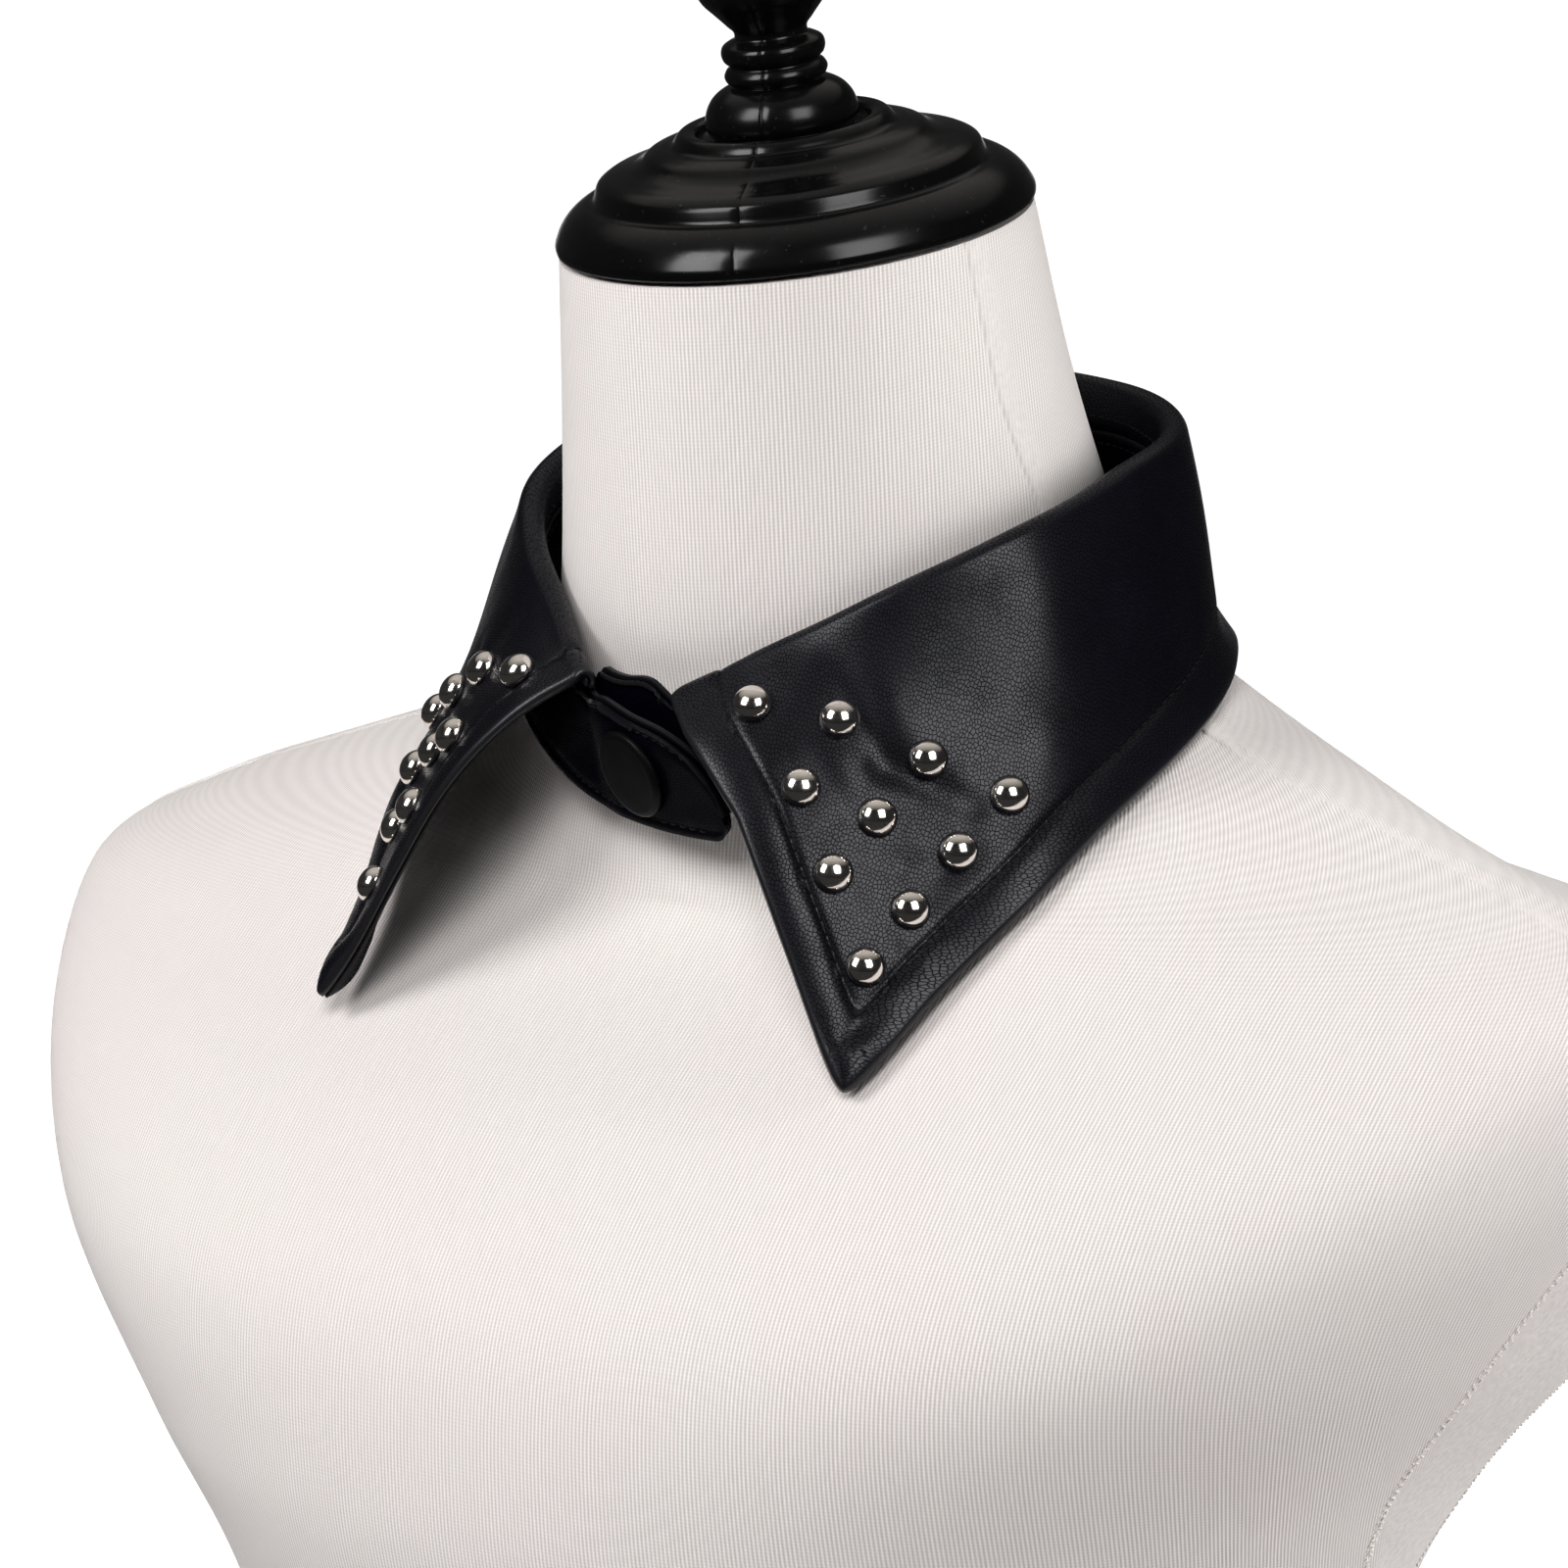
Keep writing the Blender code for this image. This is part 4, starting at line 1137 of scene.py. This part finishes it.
def from_front_line(turn):
    """The turn from the front, the same on both sides."""
    return np.where(turn > math.pi, 2 * math.pi - turn, turn)


def into_arm(turn, height):
    """How far a place is out from the armhole's middle: 1 on the oval, less inside it."""
    aside = (from_front_line(turn) - ARM_TURN) / ARM_HALF_TURN
    return np.hypot(aside, (height - ARM_HEIGHT) / ARM_HALF_HEIGHT)


rise = facing_off(grid_normals(jersey_points), jersey_points, [0, 0, DATUM])
behind = (from_front_line(turns) - SEAM_LINES) * u_map.max(1)[:, None] / math.pi
in_arm = np.clip((1.0 - into_arm(bent, jersey_points[..., 2] - DATUM)) * 12, 0, 1)
strip = (np.tanh(behind / (0.5 * MM)) - np.tanh((behind - ALLOWANCE_WIDTH) / (1.2 * MM))) / 2
ridge = (ALLOWANCE_HEIGHT * strip - SEAM_DEPTH * bell(behind, SEAM_WIDTH)) * (1 - in_arm)
ridge = ridge * np.clip((len(levels) - 1 - np.arange(len(levels))) / 20, 0, 1)[:, None]
jersey_points = jersey_points + rise * ridge[..., None]
smooth_cloth = np.maximum(in_arm, 0.6 * strip)
print("form:", jersey_points.shape, "neck round, mm:", round(2 * u_map[30].max() / MM))

# %% [markdown]
# Jersey is knitted loops. From its face the loops line up in ribs a little under a millimetre apart,
# and each rib is beaded by its rows of loops. Cosines of u and v give both. The yarn is white with a
# faint pink cast, and the cloth is shaded where the ribs sink.

# %% Jersey
RIB, LOOP = 0.95 * MM, 0.78 * MM
SUNK_TONES = (0.60, 0.57, 0.55), (0.61, 0.56, 0.55)  # between the ribs: the plain cast and the pink
YARN_TONES = (0.90, 0.855, 0.825), (0.91, 0.845, 0.825)


def build_knit():
    """Ribs of beads: 0.85 (1 + cos(2 pi u / rib)) / 2 + 0.15 (1 + cos(2 pi v / loop)) / 2."""
    sockets = [("Map", "Vector", None), ("Rib", "Float", RIB), ("Loop", "Float", LOOP)]
    tree, given, out = new_group("knit", sockets, ["Shade"])
    parts = add_node(tree, "SeparateXYZ", i0=given.outputs["Map"])
    waves = []
    for axis, pitch in ((0, "Rib"), (1, "Loop")):
        counted = math_node(tree, "DIVIDE", parts.outputs[axis], given.outputs[pitch])
        wave = math_node(tree, "COSINE", math_node(tree, "MULTIPLY", counted, 2 * math.pi))
        waves.append(math_node(tree, "MULTIPLY_ADD", wave, 0.5, 0.5))
    ribs, loops = waves
    beads = math_node(tree, "MULTIPLY", loops, 0.15)
    set_inputs(tree, out, Shade=math_node(tree, "MULTIPLY_ADD", ribs, 0.85, beads))
    return tree


def jersey():
    """White jersey: knitted on its face, and a smooth fuzz where the smooth_cloth mask says so."""
    finish, tree, shader, spot = new_finish(
        "white jersey", (0.84, 0.82, 0.81), 0.85, Sheen_Weight=0.15, Sheen_Roughness=0.6,
        Specular_IOR_Level=0.2,
    )
    chart = add_node(tree, "UVMap", {"uv_map": "surface"}).outputs[0]
    knit = group_node(tree, build_knit(), Map=chart)
    smudge = group_node(tree, SMUDGE, Vector=spot, Size=90 * MM)
    pink = ramp(tree, smudge.outputs["Cloud"], -0.1, 0.15)
    low, high = (mix_colour(tree, pink, *tones) for tones in (SUNK_TONES, YARN_TONES))
    smooth = add_node(tree, "Attribute", {"attribute_name": "smooth_cloth"}).outputs["Fac"]
    fuzz = add_node(tree, "TexNoise", Vector=spot, Scale=700.0, Detail=3.0).outputs[0]
    shade = mix_value(tree, smooth, knit.outputs["Shade"], fuzz)
    set_inputs(
        tree, shader, Base_Color=mix_colour(tree, shade, low, high),
        Normal=bump_normal(tree, shade, 0.4, 0.3 * MM),
    )
    return finish


JERSEY = jersey()
sides = len(turns)
quads = grid_faces(len(levels), sides, closed=True)[:, ::-1]
quad_level, quad_side = np.divmod(np.arange(len(quads)), sides)
corner_level = quad_level[:, None] + [1, 1, 0, 0]
corner_side = quad_side[:, None] + [0, 1, 1, 0]
chart = np.stack([u_map[corner_level, corner_side], -v_map[corner_level]], -1).reshape(-1, 2)
top_ring, low_ring = np.arange(sides), np.arange(sides)[::-1] + (len(levels) - 1) * sides
ends = np.concatenate([jersey_points[0][:, :2], jersey_points[-1][::-1, :2]])
body = make_piece(
    "jersey_form", jersey_points, [*quads, top_ring, low_ring], JERSEY, "jersey", ["dress_form"],
    uv=np.vstack([chart, ends]), sharp=60,
)
add_mask(body, "smooth_cloth", smooth_cloth)

# %% The armholes' overlocked seams
ZIGZAG, ZIGZAGS = 0.8 * MM, 460
ARM_REACH = 110 * MM  # the form's reach from its middle there


def armhole(side):
    """The oval on the form's surface, zigzagging either way, with its normals."""
    t = np.linspace(0, 2 * math.pi, ZIGZAGS + 1)
    zigzag = np.where(np.arange(ZIGZAGS + 1) % 2, 1, -1) * ZIGZAG
    height = ARM_HEIGHT + (ARM_HALF_HEIGHT + zigzag) * np.cos(t)
    turn = ARM_TURN - (ARM_HALF_TURN + zigzag / ARM_REACH) * np.sin(t)
    fine = np.linspace(4, len(FORM["height"]) - 1, 2000)
    level = np.interp(-height, -through(FORM["height"], fine), fine)
    here, on, down = (form_point(level + a, turn + b) for a, b in ((0, 0), (0, 0.01), (0.01, 0)))
    mirror = [side, 1, 1]
    path, out = here * mirror, unit(np.cross(down - here, on - here)) * mirror
    return path, facing_off(out, path, [0, 0, DATUM])


OVERLOCK = {"pitch": 1.75 * MM, "gap": 0.25 * MM, "radius": 0.22 * MM}
seam_points, seam_faces = joined([stitches(*armhole(side), **OVERLOCK) for side in (1, -1)])
no_map = np.zeros((sum(map(len, seam_faces)), 2))
make_piece("armhole_seams", seam_points, seam_faces, JERSEY, "jersey", uv=no_map)
print("armhole seam faces:", len(seam_faces))

# %% [markdown]
# ## Neck cap and finial
#
# Both are moulded plastic turned to look like wood, lacquered black. The mould leaves a fine line
# down each side, and dust settles in the grooves.

# %% Lacquer and the two turned pieces


def lacquer():
    """Black lacquer over moulded plastic, with specks of dust and long shallow waves."""
    finish, tree, shader, spot = new_finish(
        "black lacquer", (0.0012, 0.0012, 0.0016), 0.2, Specular_IOR_Level=0.34
    )
    smudge = group_node(tree, SMUDGE, Vector=spot, Size=20 * MM)
    black, dust = (0.003, 0.003, 0.0035), (0.02, 0.02, 0.02)
    waves = add_node(tree, "TexNoise", Vector=spot, Scale=70.0, Detail=2.0)
    set_inputs(
        tree, shader, Roughness=smudged_roughness(tree, smudge, 0.16, 0.26),
        Base_Color=mix_colour(tree, smudge.outputs["Specks"], black, dust),
        Normal=bump_normal(tree, waves.outputs[0], 0.12, MM),
    )
    return finish


NECK_LEAN = math.radians(12.2)
NECK_AXIS_Y = 2.2 * MM
MOULD_TURN = math.radians(23)
MOULD_DEPTH, MOULD_WIDTH = 0.2 * MM, math.radians(0.5)
CAP_PAIRS = [
    (0, 103.4), (12, 103.4), (18.6, 103.4), (19.2, 104.8), (20.6, 105.3), (22.4, 105.2), (23.4, 104.3),
    (24.2, 103.2), (27.0, 102.5), (30.2, 101.4), (31.6, 100.2), (33.0, 99.4), (37.0, 98.2),
    (40.0, 97.3), (41.6, 96.2), (42.3, 94.6), (42.9, 93.1), (45.2, 92.3), (47.8, 90.9), (50.0, 88.9),
    (51.6, 86.4), (52.3, 84.4), (52.0, 83.1), (50.8, 82.6), (0, 82.6),
]
FINIAL_PAIRS = [
    (0, 151.0), (4.5, 150.6), (8.5, 149.2), (12.0, 146.6), (14.4, 143.0), (15.4, 139.0),
    (15.2, 135.5), (14.0, 132.6), (11.8, 130.0), (9.4, 127.2), (7.9, 125.2), (8.0, 124.1),
    (9.4, 123.4), (10.9, 122.4), (11.3, 120.9), (10.8, 119.3), (9.8, 118.3), (10.6, 117.4),
    (11.2, 116.1), (10.8, 114.9), (9.8, 114.0), (11.6, 113.4), (14.4, 111.6), (16.1, 109.0),
    (16.6, 106.4), (16.4, 104.8), (15.6, 103.6), (0, 103.6),
]


def mould_angles(count):
    """Even angles, with a few close ones at the mould line on each side."""
    close = np.radians([-0.9, -0.45, 0, 0.45, 0.9])
    lines = np.concatenate([MOULD_TURN - math.pi / 2 + close, MOULD_TURN + math.pi / 2 + close])
    even = np.linspace(-math.pi, math.pi, count, endpoint=False)
    kept = even[np.abs(even[:, None] - lines).min(1) > math.radians(1.5)]
    return np.sort(np.concatenate([kept, lines])), lines[[2, 7]]


def lean(points):
    """From the neck's own frame to the shared one: turned about X, then lifted to the datum."""
    x, y, z = points.T
    c, s = math.cos(NECK_LEAN), math.sin(NECK_LEAN)
    return np.stack([x, y * c - z * s + NECK_AXIS_Y, y * s + z * c + DATUM], -1)


def moulded(name, pairs, steps, count, node):
    """A turned piece with a shallow groove down its two mould lines."""
    angles, lines = mould_angles(count)
    profile = closed_profile(pairs, steps)
    profile[:, 0] = np.maximum(profile[:, 0], 0)
    points, faces = turned(profile, angles)
    around = np.arctan2(points[:, 1], points[:, 0])
    groove = bell(np.abs(around[:, None] - lines).min(1), MOULD_WIDTH) * MOULD_DEPTH
    reach = np.hypot(points[:, 0], points[:, 1])
    points[:, :2] *= (1 - np.clip(groove / np.maximum(reach, 1e-6), 0, 0.2))[:, None]
    return make_piece(name, lean(points), faces, LACQUER, "lacquered_plastic", [node], sharp=60)


LACQUER = lacquer()
moulded("cap_turned", CAP_PAIRS, 150, 128, "neck_cap")
moulded("finial_turned", FINIAL_PAIRS, 170, 72, "finial")

# %% [markdown]
# ## What is cloth
#
# The four leather plies are sheets that were cut flat. The fall's plies are crescents, and the
# band's are long strips with a hump at each end.

# %% [markdown]
# ## Studio and camera
#
# The form stands on a pale floor that curves up behind it, and the far side is lit white. A room for
# polished studs is built twice over: lamps that light cloth evenly would show in the studs as broad
# patches, so the two soft boxes that the studs show give no light, and the key, the front light and
# the fill give light but don't show. A sky that only mirrors show glows overhead and behind, and
# shades every dome from a pale top to a dark foot.

# %% Floor and backdrop
VIEW_AZIMUTH, VIEW_ELEVATION = 38, 8  # degrees, from -Y towards +X, and up
VIEW_TURN = math.radians(VIEW_AZIMUTH)
VIEW_AWAY = (-math.sin(VIEW_TURN), math.cos(VIEW_TURN), 0.0)
VIEW_RIGHT = (math.cos(VIEW_TURN), math.sin(VIEW_TURN), 0.0)
FLOOR_REACH, FLOOR_BEND, WALL_TOP = 4.2, 0.8, 4.0
STAGE_SIDES = 64


def turned_stage(name, profile, paint, glossy):
    """A surface turned about Z, marked as the stage, that mirrors show only if asked to."""
    points = swept(np.array(profile), all_round(STAGE_SIDES))
    faces = grid_faces(len(profile), STAGE_SIDES, closed=True)
    mesh = bpy.data.meshes.new(name)
    mesh.from_pydata(points.reshape(-1, 3).tolist(), [], faces.tolist())
    mesh.materials.append(paint)
    mesh.shade_smooth()
    stage = bpy.data.objects.new(name, mesh)
    stage.visible_glossy = glossy
    bpy.context.scene.collection.objects.link(stage)
    stage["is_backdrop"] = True
    return stage


def vector_value(tree, operation, *vectors):
    """One number from one or two vectors, such as their dot product."""
    node = add_node(tree, "VectorMath", {"operation": operation})
    set_inputs(tree, node, **{f"i{place}": vector for place, vector in enumerate(vectors)})
    return node.outputs["Value"]


def studio_paint():
    """Pale near the object and grey far off, and lit white on the far side, low down."""
    finish, tree, shader, spot = new_finish(
        "studio white", (0.5, 0.5, 0.5), 0.9, Specular_IOR_Level=0.0, Emission_Color=(1, 1, 1, 1)
    )
    depth = vector_value(tree, "DOT_PRODUCT", spot, VIEW_AWAY)
    side = vector_value(tree, "DOT_PRODUCT", spot, VIEW_RIGHT)
    from_camera = math_node(tree, "ADD", depth, 1.4)
    slant = math_node(tree, "DIVIDE", math_node(tree, "ABSOLUTE", side), from_camera)
    wedge = math_node(tree, "MULTIPLY", ramp(tree, slant, 0.24, 0.15), ramp(tree, depth, 0.1, 0.5))
    height = add_node(tree, "SeparateXYZ", i0=spot).outputs[2]
    near = ramp(tree, vector_value(tree, "LENGTH", spot), 0.5, 3.0)
    set_inputs(
        tree, shader, Base_Color=mix_colour(tree, near, (0.6, 0.6, 0.6), (0.25, 0.25, 0.25)),
        Emission_Strength=math_node(tree, "MULTIPLY", wedge, ramp(tree, height, 0.9, 0.6)),
    )
    return finish


def sky_paint():
    """A glow that grows with z + y'/2, where y' is the way from the camera: dark in front, and
    brightest overhead and behind."""
    finish, tree, shader, spot = new_finish(
        "studio sky", (0, 0, 0), 1.0, Specular_IOR_Level=0.0, Emission_Color=(1, 0.96, 0.9, 1)
    )
    rise = vector_value(tree, "DOT_PRODUCT", spot, (0.5 * VIEW_AWAY[0], 0.5 * VIEW_AWAY[1], 1.0))
    set_inputs(tree, shader, Emission_Strength=ramp(tree, rise, 3.5, 8.0, 0.02, 0.6))
    return finish


STUDIO = studio_paint()
bend = np.linspace(0, math.pi / 2, 12)
wall_reach = FLOOR_REACH + FLOOR_BEND
curve = FLOOR_BEND * np.stack([np.sin(bend), 1 - np.cos(bend)], -1) + [FLOOR_REACH, 0]
dome = np.stack([wall_reach * np.cos(bend), WALL_TOP * (1 + np.sin(bend))], -1)
floor = [(reach, 0) for reach in (0, 0.3, 0.6, 1.2, 2.5, FLOOR_REACH)]
turned_stage("studio_floor", floor, STUDIO, glossy=False)
turned_stage("studio_wall", [*curve, (wall_reach, WALL_TOP)], STUDIO, glossy=True)
sky = turned_stage("studio_sky", dome, sky_paint(), glossy=True)
sky.visible_diffuse = sky.visible_shadow = False

# %% [markdown]
# The air gives a faint light from all round. A view gamma below 1 deepens the blacks a little.

# %% Air and tones
world = bpy.data.worlds.new("studio air")
world.use_nodes = True
air = world.node_tree.nodes["Background"]
set_inputs(world.node_tree, air, Color=(1.0, 0.98, 0.96, 1), Strength=0.05)
bpy.context.scene.world = world
bpy.context.scene.view_settings.view_transform = "Standard"
bpy.context.scene.view_settings.gamma = 0.88

# %% Lights
AIM = np.array([0.0, -0.03, 0.34])
# name, azimuth and elevation in degrees, distance, width and height in metres, radiance
SHOWN_BOXES = [("left box", -15, 34, 1.7, 0.7, 1.0, 9.4), ("right box", 66, 32, 1.7, 0.75, 1.0, 6.8)]
LIGHTING_BOXES = [
    ("left key", -38, 34, 1.7, 0.7, 0.7, 11.8),
    ("high front", 22, 36, 1.7, 0.9, 0.7, 10.0),
    ("right fill", 118, 14, 2.2, 1.6, 1.6, 5.2),
]


def away_from(azimuth, elevation):
    """The unit vector from the object to this direction, azimuth counted from -Y towards +X."""
    a, e = math.radians(azimuth), math.radians(elevation)
    return np.array([math.sin(a) * math.cos(e), -math.cos(a) * math.cos(e), math.sin(e)])


def softbox(name, azimuth, elevation, distance, width, height, radiance, shown):
    """A rectangular lamp facing the object, which mirrors show or which lights, but not both. Its
    power is radiance times its area times pi."""
    lamp = bpy.data.lights.new(name, "AREA")
    lamp.shape = "RECTANGLE"
    lamp.size, lamp.size_y = width, height
    lamp.energy = radiance * width * height * math.pi
    place = bpy.data.objects.new(name, lamp)
    way = away_from(azimuth, elevation)
    place.location = (AIM + way * distance).tolist()
    place.rotation_euler = Vector((-way).tolist()).to_track_quat("-Z", "Y").to_euler()
    place.visible_camera = False
    place.visible_glossy = shown
    place.visible_diffuse = not shown
    bpy.context.scene.collection.objects.link(place)


for boxes, shown in ((SHOWN_BOXES, True), (LIGHTING_BOXES, False)):
    for box in boxes:
        softbox(*box, shown)

# %% Camera
SENSOR, LENS = 36.0, 146.25  # millimetres
CAMERA_AWAY, CAMERA_RIGHT, CAMERA_UP = 1.3978, -0.012043, -0.043011  # from the datum, in metres


def place_camera():
    """At the view's azimuth and elevation, slid sideways and down, so the collar sits off centre."""
    back = away_from(VIEW_AZIMUTH, VIEW_ELEVATION)
    right = np.array(VIEW_RIGHT)
    up = np.cross(back, right)
    spot = CAMERA_AWAY * back + CAMERA_RIGHT * right + CAMERA_UP * up + [0, 0, DATUM]
    view = bpy.data.cameras.new("camera")
    view.sensor_width, view.lens = SENSOR, LENS
    holder = bpy.data.objects.new("camera", view)
    turn = Matrix(np.stack([right, up, back], 1).tolist()).to_4x4()
    holder.matrix_world = Matrix.Translation(spot.tolist()) @ turn
    bpy.context.scene.collection.objects.link(holder)
    bpy.context.scene.camera = holder


place_camera()

# %% Sizes
boxes = {"cad": cad_box, "visual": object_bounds()}
